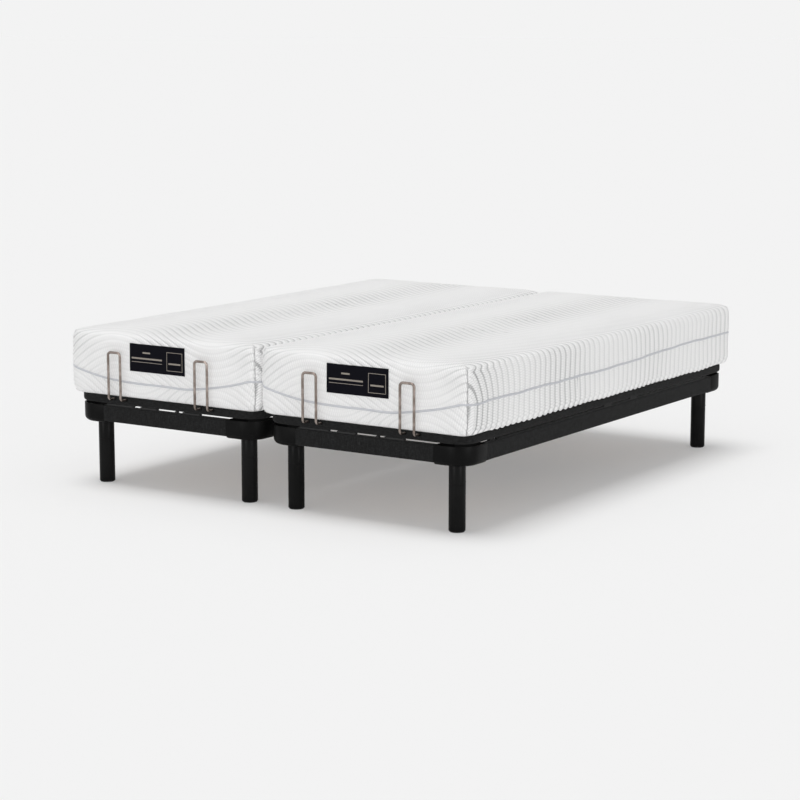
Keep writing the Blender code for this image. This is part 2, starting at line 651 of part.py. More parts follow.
def motor_housing():
    """The dual motor's housing: it clips round both lift tubes and holds their levers."""
    y0, y1 = LEG_TUBE[0] - HOUSING_OVERHANG, BACK_TUBE[0] + HOUSING_OVERHANG
    top = UPPER_BOTTOM - HOUSING_TOP_CLEARANCE
    half = HOUSING_WIDTH / 2
    slope = HOUSING_SLOPE
    outline = [(y0 + slope, HOUSING_BOTTOM), (y1 - slope, HOUSING_BOTTOM), (y1, HOUSING_BOTTOM + slope),
               (y1, top), (y0, top), (y0, HOUSING_BOTTOM + slope)]
    body = prism([outline], "X", -half, half)

    def outer_long(edge):
        a, b = (vert.co for vert in edge.verts)
        return abs(a.x - b.x) < TOUCH and max(a.z, b.z) < top and abs(abs(a.x) - half) < TOUCH

    body = round_edges(body, outer_long, HOUSING_EDGE, 2)
    cuts = []
    for y, z in (LEG_TUBE, BACK_TUBE):
        clear = LIFT_TUBE_RADIUS + BEARING_CLEARANCE
        cuts.append(rod_x(-half - OVERLAP, half + OVERLAP, y, z, clear, TUBE_SIDES))
        cuts.append(box((-half - OVERLAP, y - clear, z), (half + OVERLAP, y + clear, top + OVERLAP)))
        cuts.append(box((-POCKET_WIDTH / 2, y - POCKET_HALF_LENGTH, HOUSING_BOTTOM + POCKET_FLOOR),
                        (POCKET_WIDTH / 2, y + POCKET_HALF_LENGTH, top + OVERLAP)))
    inlet_x, inlet_z, inlet_depth = 0.040, TUBE_Z - 0.020, 0.012
    cuts.append(box((inlet_x - 0.012, y1 - inlet_depth, inlet_z - 0.008),
                    (inlet_x + 0.012, y1 + OVERLAP, inlet_z + 0.008)))
    cuts.append(rod_y(-inlet_x, y1 - inlet_depth, y1 + OVERLAP, inlet_z, 0.007))
    return combine(body, cuts, "DIFFERENCE")


# ---------------------------------------------------------------- retainers, links and mattress
def retainer(x_middle):
    """A bent rod that stops the mattress sliding off the foot end."""
    reach = RETAINER_WIDTH / 2 - RETAINER_RADIUS
    bend = RETAINER_BEND
    low_z = RETAINER_Z
    top_z = UPPER_TOP + RETAINER_HEIGHT - RETAINER_RADIUS
    front_y = FOOT_FACE - RETAINER_CLEARANCE - RETAINER_RADIUS
    inner_y = UPPER_FOOT + RETAINER_SOCKET_DEPTH - OVERLAP
    elbow = [(front_y + bend * (1 - math.sin(a)), low_z + bend * (1 - math.cos(a)))
             for a in (math.radians(22.5 * i) for i in range(5))]
    rising = [(-reach, inner_y, low_z)] + [(-reach, y, z) for y, z in elbow]
    top = [(u, front_y, v) for u, v in arc(-reach + bend, top_z - bend, bend, 180, 90, SMALL_ARC_STEPS)]
    half_path = rising + top
    path = half_path + [(-x, y, z) for x, y, z in reversed(half_path)]
    curve = bpy.data.curves.new("rod", "CURVE")
    curve.dimensions = "3D"
    curve.bevel_depth = RETAINER_RADIUS
    curve.bevel_resolution = 2
    curve.use_fill_caps = True
    spline = curve.splines.new("POLY")
    spline.points.add(len(path) - 1)
    for point, (x, y, z) in zip(spline.points, path):
        point.co = (x + x_middle, y, z, 1)
    drawn = bpy.data.objects.new("rod", curve)
    cutters.objects.link(drawn)
    bpy.context.view_layer.update()
    ready = drawn.evaluated_get(bpy.context.evaluated_depsgraph_get())
    mesh = bpy.data.meshes.new_from_object(ready)
    bpy.data.objects.remove(drawn)
    shape = bmesh.new()
    shape.from_mesh(mesh)
    bmesh.ops.remove_doubles(shape, verts=shape.verts, dist=0.00002)
    return from_bmesh("rod", shape)


def link_bracket(y):
    """A channel between the inner rails that ties the two halves together."""
    reach = HALF_X - LOWER_HALF_WIDTH - TOUCH
    z0 = RAIL_BOTTOM + (RAIL_HEIGHT - LINK_HEIGHT) / 2
    z1 = z0 + LINK_HEIGHT
    outline = [(-reach, z0), (reach, z0), (reach, z1), (reach - LINK_WALL, z1),
               (reach - LINK_WALL, z0 + LINK_WALL), (-reach + LINK_WALL, z0 + LINK_WALL),
               (-reach + LINK_WALL, z1), (-reach, z1)]
    return prism([outline], "Y", y - LINK_LENGTH / 2, y + LINK_LENGTH / 2)


def mattress_section(y0, y1):
    """One section of a mattress; corners are round at the ends of the bed only."""
    half = MATTRESS_WIDTH / 2
    foot = MATTRESS_CORNER_RADIUS if y0 == FOOT_FACE else 0
    head = MATTRESS_CORNER_RADIUS if y1 == HEAD_FACE else 0
    low = y0 if foot else y0 + SECTION_GAP / 2
    high = y1 if head else y1 - SECTION_GAP / 2
    block = prism([round_rectangle(-half, half, low, high, [foot, foot, head, head], 6)], "Z",
                  MATTRESS_BOTTOM, MATTRESS_TOP)

    def rim(edge):
        a, b = (vert.co for vert in edge.verts)
        across_low = not foot and abs(a.y - low) < TOUCH and abs(b.y - low) < TOUCH
        across_high = not head and abs(a.y - high) < TOUCH and abs(b.y - high) < TOUCH
        return abs(a.z - b.z) < TOUCH and not across_low and not across_high

    return round_edges(block, rim, MATTRESS_EDGE_RADIUS, 3)


# ---------------------------------------------------------------- assembly
def build_half(name, x, outer_side):
    """All the pieces of one half, whose outer side is left (-1) or right (+1)."""
    base = joint_empty(f"{name}_base", x, MIDDLE_Y, 0)
    back = joint_empty(f"{name}_back_hinge_axis", x, *BACK_HINGE, base)
    thigh = joint_empty(f"{name}_thigh_hinge_axis", x, *THIGH_HINGE, base)
    calf = joint_empty(f"{name}_knee_hinge_axis", x, *KNEE_HINGE, thigh)
    back_lift = joint_empty(f"{name}_back_lift_axis", x, *BACK_TUBE, base)
    leg_lift = joint_empty(f"{name}_leg_lift_axis", x, *LEG_TUBE, base)

    sides = {outer_side: "outer", -outer_side: "inner"}
    ends = {-1: "foot", 1: "head"}
    rail_reach = LOWER_HALF_WIDTH - CORNER_SPAN - TOUCH
    for end, end_name in ends.items():
        at = LOWER_HEAD if end > 0 else LOWER_FOOT
        rail = lower_rail("X", -rail_reach, rail_reach, at, end)
        place(f"{name}_{end_name}_rail", rail, "charcoal_fabric", base, x)
        for side, side_name in sides.items():
            spot = f"{end_name}_{side_name}"
            place(f"{name}_corner_{spot}", corner_piece(side, end), "black_plastic", base, x)
            place(f"{name}_leg_{spot}", leg(side, end), "leg_lacquer", base, x)
    for side, side_name in sides.items():
        rail = lower_rail("Y", LOWER_FOOT + CORNER_SPAN + TOUCH, LOWER_HEAD - CORNER_SPAN - TOUCH,
                          side * LOWER_HALF_WIDTH, side)
        place(f"{name}_side_rail_{side_name}", rail, "charcoal_fabric", base, x)
        calf_rod = retainer(side * RETAINER_X)
        place(f"{name}_retainer_{side_name}", calf_rod, "bright_rod", calf, x)

    place(f"{name}_seat_frame", seat_frame(), "charcoal_fabric", base, x)
    place(f"{name}_back_frame", back_frame(), "charcoal_fabric", back, x)
    place(f"{name}_thigh_frame", thigh_frame(), "charcoal_fabric", thigh, x)
    place(f"{name}_calf_frame", calf_frame(), "charcoal_fabric", calf, x)
    place(f"{name}_motor_housing", motor_housing(), "motor_plastic", base, x)
    place(f"{name}_back_lift_tube", lift_tube(BACK_TUBE, 1, BACK_ARM_LENGTH, BACK_LEVER_TILT),
          "dark_steel", back_lift, x)
    place(f"{name}_leg_lift_tube", lift_tube(LEG_TUBE, -1, LEG_ARM_LENGTH, LEG_LEVER_TILT),
          "dark_steel", leg_lift, x)

    stations = (
        ("back", back, BACK_HINGE[0], HEAD_FACE),
        ("seat", base, THIGH_HINGE[0], BACK_HINGE[0]),
        ("thigh", thigh, KNEE_HINGE[0], THIGH_HINGE[0]),
        ("calf", calf, FOOT_FACE, KNEE_HINGE[0]),
    )
    end_inset = UPPER_INSET + UPPER_RAIL_WIDTH + SLAT_END_GAP
    for section, parent, y0, y1 in stations:
        slat_low = y0 + (end_inset if y0 == FOOT_FACE else SLAT_HINGE_GAP)
        slat_high = y1 - (end_inset if y1 == HEAD_FACE else SLAT_HINGE_GAP)
        slats = slat_set(slat_low, slat_high, slat_count(slat_high - slat_low))
        place(f"{name}_{section}_slats", slats, "beech_slat", parent, x)
        place(f"{name}_mattress_{section}", mattress_section(y0, y1), "white_ticking", parent, x)


build_half("left", -HALF_X, -1)
build_half("right", HALF_X, 1)
middle = joint_empty("link_base", 0, MIDDLE_Y, 0)
for link_name, link_y in (("foot", MIDDLE_Y - LINK_Y), ("head", MIDDLE_Y + LINK_Y)):
    place(f"link_bracket_{link_name}", link_bracket(link_y), "dark_steel", middle)
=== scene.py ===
import math

import bmesh
import bpy
import numpy as np
from mathutils import Matrix, Vector
from mathutils.bvhtree import BVHTree


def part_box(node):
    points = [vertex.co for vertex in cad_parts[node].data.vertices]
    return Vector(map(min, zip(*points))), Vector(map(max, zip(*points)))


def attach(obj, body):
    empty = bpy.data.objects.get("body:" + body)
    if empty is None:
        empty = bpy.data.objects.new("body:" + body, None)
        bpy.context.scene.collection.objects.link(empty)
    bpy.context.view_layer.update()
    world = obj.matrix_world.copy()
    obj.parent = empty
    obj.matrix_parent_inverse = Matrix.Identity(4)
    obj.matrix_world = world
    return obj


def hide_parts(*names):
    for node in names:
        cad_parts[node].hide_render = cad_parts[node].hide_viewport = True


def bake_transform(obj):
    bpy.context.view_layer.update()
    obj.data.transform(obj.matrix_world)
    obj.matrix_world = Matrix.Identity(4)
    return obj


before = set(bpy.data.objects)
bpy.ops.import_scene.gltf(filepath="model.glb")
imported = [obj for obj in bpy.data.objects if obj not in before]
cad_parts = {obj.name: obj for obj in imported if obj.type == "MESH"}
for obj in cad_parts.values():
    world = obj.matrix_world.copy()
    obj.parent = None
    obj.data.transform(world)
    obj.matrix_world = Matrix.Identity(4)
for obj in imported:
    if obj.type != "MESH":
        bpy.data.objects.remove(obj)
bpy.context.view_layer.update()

MM = 0.001
scene = bpy.context.scene


# ---------------------------------------- sizes read from the frame
def around(*nodes):
    """Lowest and highest corner of the box round some CAD nodes."""
    boxes = [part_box(node) for node in nodes]
    low = Vector([min(box[0][i] for box in boxes) for i in range(3)])
    high = Vector([max(box[1][i] for box in boxes) for i in range(3)])
    return low, high


SECTIONS = ("back", "seat", "thigh", "calf")
HALVES = ("left", "right")
HALF_X = {half: sum(corner.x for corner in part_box(f"{half}_foot_rail")) / 2 for half in HALVES}
HALF_STEP = HALF_X["right"] - HALF_X["left"]
BED_LOW, BED_HIGH = around(*[f"left_mattress_{section}" for section in SECTIONS])
FRAME_LOW, FRAME_HIGH = around("left_calf_frame", "left_back_frame")
UPPER_DEPTH = 30 * MM
SLATS_BELOW_TOP = 1 * MM
UPPER_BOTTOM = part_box("left_seat_slats")[1].z + SLATS_BELOW_TOP - UPPER_DEPTH
UPPER_TOP = UPPER_BOTTOM + UPPER_DEPTH
# Each hinge is in the middle of the narrow cut between two blocks of the CAD mattress.
HALF_CUT = 1.5 * MM
BACK_HINGE_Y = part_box("left_mattress_back")[0].y - HALF_CUT
THIGH_HINGE_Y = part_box("left_mattress_seat")[0].y - HALF_CUT
KNEE_HINGE_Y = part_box("left_mattress_thigh")[0].y - HALF_CUT


# ---------------------------------------- modelling
def deselect_all():
    for piece in list(bpy.context.selected_objects):
        piece.select_set(False)


def activate(*pieces):
    """Selects these pieces alone; the first is the active one."""
    deselect_all()
    for piece in pieces:
        piece.select_set(True)
    bpy.context.view_layer.objects.active = pieces[0]


def settled(name):
    """Names the new primitive and puts its place into its mesh."""
    piece = bpy.context.object
    piece.name = name
    bpy.ops.object.transform_apply(location=True, rotation=True, scale=True)
    return piece


def block(name, low, high):
    """A plain block between two corners, to be shaped further."""
    deselect_all()
    low, high = Vector(low), Vector(high)
    bpy.ops.mesh.primitive_cube_add(size=1, location=(low + high) / 2)
    bpy.context.object.scale = high - low
    return settled(name)


def drum(name, centre, radius, depth, axis="Z", sides=32):
    """A plain round bar, to be shaped further."""
    deselect_all()
    turn = {"X": (0, math.pi / 2, 0), "Y": (math.pi / 2, 0, 0), "Z": (0, 0, 0)}[axis]
    bpy.ops.mesh.primitive_cylinder_add(vertices=sides, radius=radius, depth=depth,
                                        location=centre, rotation=turn)
    return settled(name)


def pick(kind, test):
    """In edit mode, selects only the verts, edges or faces that pass a test."""
    bpy.ops.mesh.select_mode(type=kind)
    bpy.ops.mesh.select_all(action="DESELECT")
    piece = bpy.context.object
    shape = bmesh.from_edit_mesh(piece.data)
    items = {"VERT": shape.verts, "EDGE": shape.edges, "FACE": shape.faces}[kind]
    for item in items:
        item.select_set(bool(test(item)))
    shape.select_flush_mode()
    bmesh.update_edit_mesh(piece.data)


def ends(edge):
    """The places of an edge's two ends."""
    return edge.verts[0].co, edge.verts[1].co


def between_wall_and_cap(edge):
    """True where an upright face meets one that looks up or down."""
    return len({round(face.normal.z) for face in edge.link_faces}) == 2


def edit(piece, work):
    """Runs some edit-mode work on one piece."""
    activate(piece)
    bpy.ops.object.mode_set(mode="EDIT")
    work()
    bpy.ops.object.mode_set(mode="OBJECT")
    return piece


def apply(piece, kind, **settings):
    """Adds a modifier, sets it up and applies it."""
    activate(piece)
    modifier = piece.modifiers.new(kind.lower(), kind)
    for key, value in settings.items():
        setattr(modifier, key, value)
    bpy.ops.object.modifier_apply(modifier=modifier.name)
    return piece


def soften(piece, width, segments=2, angle=35):
    """Small rounding on all sharp edges."""
    return apply(piece, "BEVEL", width=width, segments=segments, limit_method="ANGLE",
                 angle_limit=math.radians(angle), harden_normals=False)


def smooth(piece, angle=35):
    activate(piece)
    bpy.ops.object.shade_smooth_by_angle(angle=math.radians(angle))
    return piece


def joined(name, pieces):
    """Several pieces as one object."""
    activate(*pieces)
    bpy.ops.object.join()
    pieces[0].name = name
    return pieces[0]


def copied(piece, name, shift=(0, 0, 0), flip=(1, 1, 1)):
    """A copy with its own mesh, mirrored across x or y if asked, then shifted."""
    mesh = piece.data.copy()
    mesh.transform(Matrix.Diagonal((*flip, 1)))
    if flip[0] * flip[1] * flip[2] < 0:
        mesh.flip_normals()
    mesh.transform(Matrix.Translation(shift))
    twin = bpy.data.objects.new(name, mesh)
    scene.collection.objects.link(twin)
    return twin


def swept(name, route, outline, closed=False):
    """An outline of (outward, up) points carried along a route, right-hand side outward."""
    route = [Vector(point) for point in route]
    count = len(route)
    shape = bmesh.new()
    rings = []
    for i, point in enumerate(route):
        before = route[i - 1] if closed or i else route[0]
        after = route[(i + 1) % count] if closed or i < count - 1 else route[-1]
        ahead = (after - before).normalized()
        outward = Vector((ahead.y, -ahead.x, 0)).normalized()
        rings.append([shape.verts.new(point + outward * u + Vector((0, 0, v))) for u, v in outline])
    sides = len(outline)
    for i in range(count if closed else count - 1):
        j = (i + 1) % count
        for k in range(sides):
            n = (k + 1) % sides
            shape.faces.new((rings[i][k], rings[j][k], rings[j][n], rings[i][n]))
    if not closed:
        shape.faces.new(rings[0])
        shape.faces.new(rings[-1])
    bmesh.ops.recalc_face_normals(shape, faces=shape.faces)
    mesh = bpy.data.meshes.new(name)
    shape.to_mesh(mesh)
    shape.free()
    piece = bpy.data.objects.new(name, mesh)
    scene.collection.objects.link(piece)
    return piece


def rod(name, route, radius):
    """A round rod along a route, with closed ends, as a mesh."""
    curve = bpy.data.curves.new(name, "CURVE")
    curve.dimensions = "3D"
    curve.bevel_depth = radius
    curve.bevel_resolution = 4
    curve.use_fill_caps = True
    spline = curve.splines.new("POLY")
    spline.points.add(len(route) - 1)
    for point, place in zip(spline.points, route):
        point.co = (*place, 1)
    piece = bpy.data.objects.new(name, curve)
    scene.collection.objects.link(piece)
    activate(piece)
    bpy.ops.object.convert(target="MESH")
    return bpy.context.object


def arc(cu, cv, radius, start, end, steps):
    """Points on an arc, angles in degrees."""
    turns = [math.radians(start + (end - start) * i / steps) for i in range(steps + 1)]
    return [(cu + radius * math.cos(turn), cv + radius * math.sin(turn)) for turn in turns]


def round_outline(u0, u1, v0, v1, radii, steps=4):
    """A rectangle with its corners rounded, from the low left one anticlockwise."""
    corners = ((u0, v0, 1, 1, 180), (u1, v0, -1, 1, 270), (u1, v1, -1, -1, 0), (u0, v1, 1, -1, 90))
    points = []
    for (u, v, su, sv, start), radius in zip(corners, radii):
        points += arc(u + su * radius, v + sv * radius, radius, start, start + 90, steps)
    return points


# ---------------------------------------- finishes
class Reading:
    """A value read from a node. Arithmetic on it adds Math nodes to its finish."""

    def __init__(self, finish, socket):
        self.finish = finish
        self.socket = socket

    def out(self, name):
        return Reading(self.finish, open_socket(self.socket.node.outputs, name))

    def math(self, operation, *others):
        return self.finish.math(operation, self, *others)

    def __add__(self, other):
        return self.math("ADD", other)

    def __radd__(self, other):
        return self.math("ADD", other)

    def __sub__(self, other):
        return self.math("SUBTRACT", other)

    def __rsub__(self, other):
        return self.finish.math("SUBTRACT", other, self)

    def __mul__(self, other):
        return self.math("MULTIPLY", other)

    def __rmul__(self, other):
        return self.math("MULTIPLY", other)

    def __truediv__(self, other):
        return self.math("DIVIDE", other)

    def wave(self):
        """1 at whole numbers, 0 halfway between them."""
        return (self * math.tau).math("COSINE") * 0.5 + 0.5

    def between(self, low, high):
        """0 below the low value, 1 above the high one, smooth in the middle."""
        settings = {"interpolation_type": "SMOOTHSTEP"}
        sockets = {"Value": self, "From Min": low, "From Max": high}
        return self.finish.node("ShaderNodeMapRange", settings, sockets)


def open_socket(sockets, name):
    """The socket of that name that is in use, since a Mix node holds several of one name."""
    return next(socket for socket in sockets if socket.name == name and socket.enabled)


class Finish:
    """The nodes of one material, or of the world."""

    def __init__(self, owner):
        owner.use_nodes = True
        self.owner = owner
        self.tree = owner.node_tree
        self.tree.nodes.clear()

    def node(self, kind, settings=None, sockets=None):
        """Adds a node: its settings first, then the values or links of its sockets."""
        made = self.tree.nodes.new(kind)
        for key, value in (settings or {}).items():
            setattr(made, key, value)
        for key, value in (sockets or {}).items():
            socket = made.inputs[key] if isinstance(key, int) else open_socket(made.inputs, key)
            if isinstance(value, Reading):
                self.tree.links.new(value.socket, socket)
            else:
                socket.default_value = value
        outputs = [socket for socket in made.outputs if socket.enabled]
        return Reading(self, outputs[0] if outputs else None)

    def math(self, operation, *values):
        return self.node("ShaderNodeMath", {"operation": operation}, dict(enumerate(values)))

    def place(self):
        return self.node("ShaderNodeTexCoord").out("Object")

    def stretched(self, scale):
        """Object coordinates, scaled along each axis."""
        return self.node("ShaderNodeMapping", None, {"Vector": self.place(), "Scale": scale})

    def noise(self, vector, scale, detail=2.0, roughness=0.5):
        sockets = {"Vector": vector, "Scale": scale, "Detail": detail, "Roughness": roughness}
        return self.node("ShaderNodeTexNoise", {"noise_dimensions": "3D"}, sockets)

    def split(self, vector):
        """The three parts of a vector."""
        parts = self.node("ShaderNodeSeparateXYZ", None, {"Vector": vector})
        return parts.out("X"), parts.out("Y"), parts.out("Z")

    def mix(self, factor, first, second):
        """A colour between two colours."""
        sockets = {"Factor": factor, "A": first, "B": second}
        return self.node("ShaderNodeMix", {"data_type": "RGBA"}, sockets)

    def close(self, colour, roughness, height=None, depth=1 * MM, **fixed):
        """Ends a material in a Principled surface; what is fixed is the same all over."""
        sockets = {"Base Color": colour, "Roughness": roughness}
        if height is not None:
            bump = {"Height": height, "Distance": depth, "Strength": 1.0}
            sockets["Normal"] = self.node("ShaderNodeBump", None, bump)
        sockets.update({key.replace("_", " "): value for key, value in fixed.items()})
        surface = self.node("ShaderNodeBsdfPrincipled", None, sockets)
        self.node("ShaderNodeOutputMaterial", None, {"Surface": surface})
        return self.owner


def new_finish(name):
    return Finish(bpy.data.materials.new(name))


def grey(level, warm=0.0):
    return (level * (1 + warm), level, level * (1 - warm), 1)


PAIR_BUMP = 2.4 * MM
RIB_PITCH = 3.2 * MM
WARP_PITCH = 0.9 * MM
WEFT_PITCH = 0.7 * MM


def knitted_ticking():
    """White double knit: creased and stitched rows that follow the knit attribute, with shade painted
    into the creases.
    """
    finish = new_finish("knitted_ticking")
    knit = finish.node("ShaderNodeAttribute", {"attribute_name": "knit"}).out("Vector")
    rows, ticks, strength = finish.split(knit)
    pair = (rows * 0.5).wave()
    tick = (ticks + rows.math("FLOOR") * 0.5).wave()
    crease_shade_mask = (1 - pair).between(0.72, 0.97)
    stitch = pair.between(0.88, 0.99) * tick.between(0.3, 0.8)
    dash = (1 - rows.wave()).between(0.3, 0.7) * tick.between(0.5, 0.85)
    yarn = finish.noise(finish.place(), 1100, 2)
    cloud = finish.noise(finish.place(), 7, 3)
    hump = pair.math("SQRT")
    height = hump * (0.25 + 0.75 * strength) - stitch * 0.25 - dash * 0.3 + yarn * 0.08
    # Painted shade: each crease between row pairs is darkened, more where the knit's strength is
    # higher; the stitch and dash marks are the knit's own.
    dark = crease_shade_mask * strength * (0.55 + 0.45 * tick)
    light = stitch * (0.12 + 0.35 * strength) + dash * (0.10 + 0.26 * strength)
    shade = dark + light + (cloud - 0.5) * 0.06
    colour = finish.mix(shade, grey(0.82, 0.002), grey(0.30, -0.01))
    return finish.close(colour, 0.92, height, PAIR_BUMP, Specular_IOR_Level=0.25,
                        Sheen_Weight=0.12, Sheen_Roughness=0.5)


def woven_charcoal():
    """Black upholstery cloth with uneven yarns both ways."""
    finish = new_finish("woven_charcoal")
    across = finish.noise(finish.stretched((70, 70, 900)), 1, 2)
    upright = finish.noise(finish.stretched((900, 900, 60)), 1, 2)
    weave = finish.noise(finish.place(), 1600, 1)
    slub = across * 0.5 + upright * 0.5
    light = slub.between(0.42, 0.68)
    colour = finish.mix(light, grey(0.007), grey(0.025, -0.02))
    height = slub + weave * 0.4
    return finish.close(colour, 0.9, height, 0.5 * MM, Specular_IOR_Level=0.10,
                        Sheen_Weight=0.06, Sheen_Roughness=0.4)


def moulded(name, level, roughness, grain, gloss):
    """Moulded or coated black: a fine grain, slight cloudiness in its shine."""
    finish = new_finish(name)
    fine = finish.noise(finish.place(), grain, 2)
    cloud = finish.noise(finish.place(), 9, 3)
    colour = finish.mix(cloud.between(0.3, 0.7), grey(level * 0.8), grey(level * 1.25))
    shine = roughness + (cloud - 0.5) * 0.12 + (fine - 0.5) * 0.06
    return finish.close(colour, shine, fine, 0.12 * MM, Specular_IOR_Level=gloss)


def bronzed_steel():
    """The retainers' plated rod: warm, brushed along its length."""
    finish = new_finish("bronzed_steel")
    brushed = finish.noise(finish.stretched((2600, 2600, 90)), 1, 2)
    cloud = finish.noise(finish.place(), 35, 2)
    colour = finish.mix(cloud.between(0.35, 0.7), (0.20, 0.165, 0.145, 1), (0.36, 0.31, 0.28, 1))
    return finish.close(colour, 0.2 + brushed * 0.18, brushed, 0.05 * MM, Metallic=1.0)


def coated_steel():
    """Black powder coat on the mechanism, with its fine orange peel."""
    finish = new_finish("coated_steel")
    peel = finish.noise(finish.place(), 650, 2)
    wear = finish.noise(finish.place(), 55, 4)
    colour = finish.mix(wear.between(0.55, 0.75), grey(0.009), grey(0.020))
    return finish.close(colour, 0.55 + (wear - 0.5) * 0.2, peel, 0.15 * MM, Specular_IOR_Level=0.1)


def beech():
    """Laminated beech with long grain and short dark flecks."""
    finish = new_finish("beech")
    grain = finish.noise(finish.stretched((5, 90, 90)), 1, 4, 0.6)
    fleck = finish.noise(finish.stretched((60, 700, 700)), 1, 2)
    tone = finish.mix(grain.between(0.3, 0.7), (0.62, 0.42, 0.25, 1), (0.47, 0.29, 0.16, 1))
    colour = finish.mix(fleck.between(0.62, 0.72) * 0.5, tone, (0.25, 0.13, 0.07, 1))
    return finish.close(colour, 0.42 + grain * 0.15, grain * 0.7 + fleck * 0.3, 0.25 * MM)


def zip_tape():
    """Grey-blue tape of the border, with its fine crosswise ribs."""
    finish = new_finish("zip_tape")
    x, y, _ = finish.split(finish.place())
    ribs = ((x + y) / RIB_PITCH).wave()
    cloud = finish.noise(finish.place(), 60, 2)
    colour = finish.mix(ribs * 0.5 + cloud * 0.3, (0.46, 0.47, 0.50, 1), (0.58, 0.585, 0.615, 1))
    return finish.close(colour, 0.8, ribs, 0.3 * MM, Specular_IOR_Level=0.2)


def satin_weave(name, dark, light):
    """Tightly woven cloth or thread of the label."""
    finish = new_finish(name)
    x, _, z = finish.split(finish.place())
    threads = (x / WARP_PITCH).wave() * 0.5 + (z / WEFT_PITCH).wave() * 0.5
    cloud = finish.noise(finish.place(), 90, 2)
    colour = finish.mix(threads * 0.6 + cloud * 0.4, dark, light)
    return finish.close(colour, 0.5 + threads * 0.1, threads, 0.12 * MM, Specular_IOR_Level=0.03)


TICKING = knitted_ticking()
CHARCOAL = woven_charcoal()
CORNER_PLASTIC = moulded("corner_plastic", 0.0045, 0.38, 900, 0.05)
LEG_LACQUER = moulded("leg_lacquer", 0.006, 0.30, 500, 0.06)
HOLDER_RUBBER = moulded("holder_rubber", 0.018, 0.7, 1200, 0.3)
MOTOR_PLASTIC = moulded("motor_plastic", 0.020, 0.5, 1400, 0.4)
GLIDE_PLASTIC = moulded("glide_plastic", 0.030, 0.6, 700, 0.3)
ROD_METAL = bronzed_steel()
STEEL = coated_steel()
BEECH = beech()
TAPE = zip_tape()
LABEL_CLOTH = satin_weave("label_cloth", (0.002, 0.002, 0.004, 1), (0.006, 0.006, 0.009, 1))
LABEL_THREAD = satin_weave("label_thread", (0.20, 0.18, 0.16, 1), (0.34, 0.31, 0.27, 1))


def dress(piece, finish):
    """Gives a piece its finish."""
    piece.data.materials.clear()
    piece.data.materials.append(finish)
    return piece


# ---------------------------------------- mattress
COVER_CORNER = 40 * MM
COVER_EDGE = 25 * MM
COVER_VOXEL = 18 * MM
# The cloth starts smaller by this room, swells, and is then fitted to the CAD mattress.
SWELL_ROOM = 5 * MM
ROOM_BELOW = 0.6
SWELL_LIMIT = 9 * MM
SWELL_PRESSURE = 4
SWELL_STEPS = 20
COVER_INSET = 2 * MM
# The knit: rows run across the top in waves, and down the foot face, where they are stretched.
ROW_PITCH = 18.5 * MM
TICK_PITCH = 9.5 * MM
RELIEF = 2.0 * MM
FACE_STRETCH = 1.35
RIB_SLANT = 0.5
RIB_SLANT_REACH = 220 * MM
PATTERN_WIDTH = 880 * MM
PATTERN_SWING = 125 * MM
PATTERN_CREST = -215 * MM
PATTERN_DRIFT = 0.18
LOWER_PATTERN_WIDTH = 740 * MM
LOWER_PATTERN_CREST = 265 * MM
LOWER_PATTERN_SWING = 105 * MM
FOLD_SPACING = 680 * MM
FOOT_FOLD_REACH = 160 * MM
# The sewn corners, with gathers on both sides, and the groove that the tape lies in.
SEAM_DEPTH = 4.0 * MM
SEAM_WIDTH = 6 * MM
GATHER_DEPTH = 1.8 * MM
GATHER_PITCH = 19 * MM
GATHER_REACH = 24 * MM
GROOVE_DEPTH = 1.4 * MM
GROOVE_WIDTH = 9 * MM
# The lower edge hangs over the frame, further at the sides than at the ends.
SIDE_HANG = 12 * MM
END_HANG = 2 * MM
HANG_FADE = 30 * MM
LOW_EDGE_FADE = 22 * MM
SLACK = 1.5 * MM
# The tape's height over the mattress's underside, and where its dip at the foot end lies.
TAPE_LOW = 61 * MM
TAPE_FOOT_CORNER = 113 * MM
TAPE_HEAD = 131 * MM
TAPE_DIP_SHIFT = 20 * MM
TAPE_DIP_HALF = 130 * MM
TAPE_RISE_WIDTH = 310 * MM
TAPE_OFFSET = 0.8 * MM
TAPE_HALF_THICK = 2.4 * MM
TAPE_HALF_HIGH = 4.1 * MM
TAPE_STEP = 14 * MM
TAPE_START = 20 * MM
# Where the cover is cut in parts.
BACK_CUT = 80 * MM
THIGH_CUT = -266 * MM
COVER_X = (BED_LOW.x + BED_HIGH.x) / 2
COVER_HALF_WIDTH = (BED_HIGH.x - BED_LOW.x) / 2


def points_of(piece, key="co"):
    """The places of a piece's vertices, or their normals, as rows."""
    places = np.empty(len(piece.data.vertices) * 3)
    piece.data.vertices.foreach_get(key, places)
    return places.reshape(-1, 3)


def set_points(piece, places):
    piece.data.vertices.foreach_set("co", places.ravel())
    piece.data.update()


def ramp(values, low, high):
    """0 below the low value, 1 above the high one, smooth in the middle."""
    share = np.clip((values - low) / (high - low), 0, 1)
    return share * share * (3 - 2 * share)


def swell(piece):
    """Blows the cover up with a cloth simulation, and caps how far each point moves."""
    before = points_of(piece)
    cloth = piece.modifiers.new("swell", "CLOTH")
    cloth.settings.use_pressure = True
    cloth.settings.uniform_pressure_force = SWELL_PRESSURE
    cloth.settings.effector_weights.gravity = 0
    cloth.point_cache.frame_end = SWELL_STEPS
    for step in range(1, SWELL_STEPS + 1):
        scene.frame_set(step)
    after = points_of(piece.evaluated_get(bpy.context.evaluated_depsgraph_get()))
    piece.modifiers.remove(cloth)
    scene.frame_set(1)
    move = after - before
    length = np.linalg.norm(move, axis=1, keepdims=True)
    move *= SWELL_LIMIT * np.tanh(length / SWELL_LIMIT) / np.maximum(length, 1e-9)
    set_points(piece, before + move)


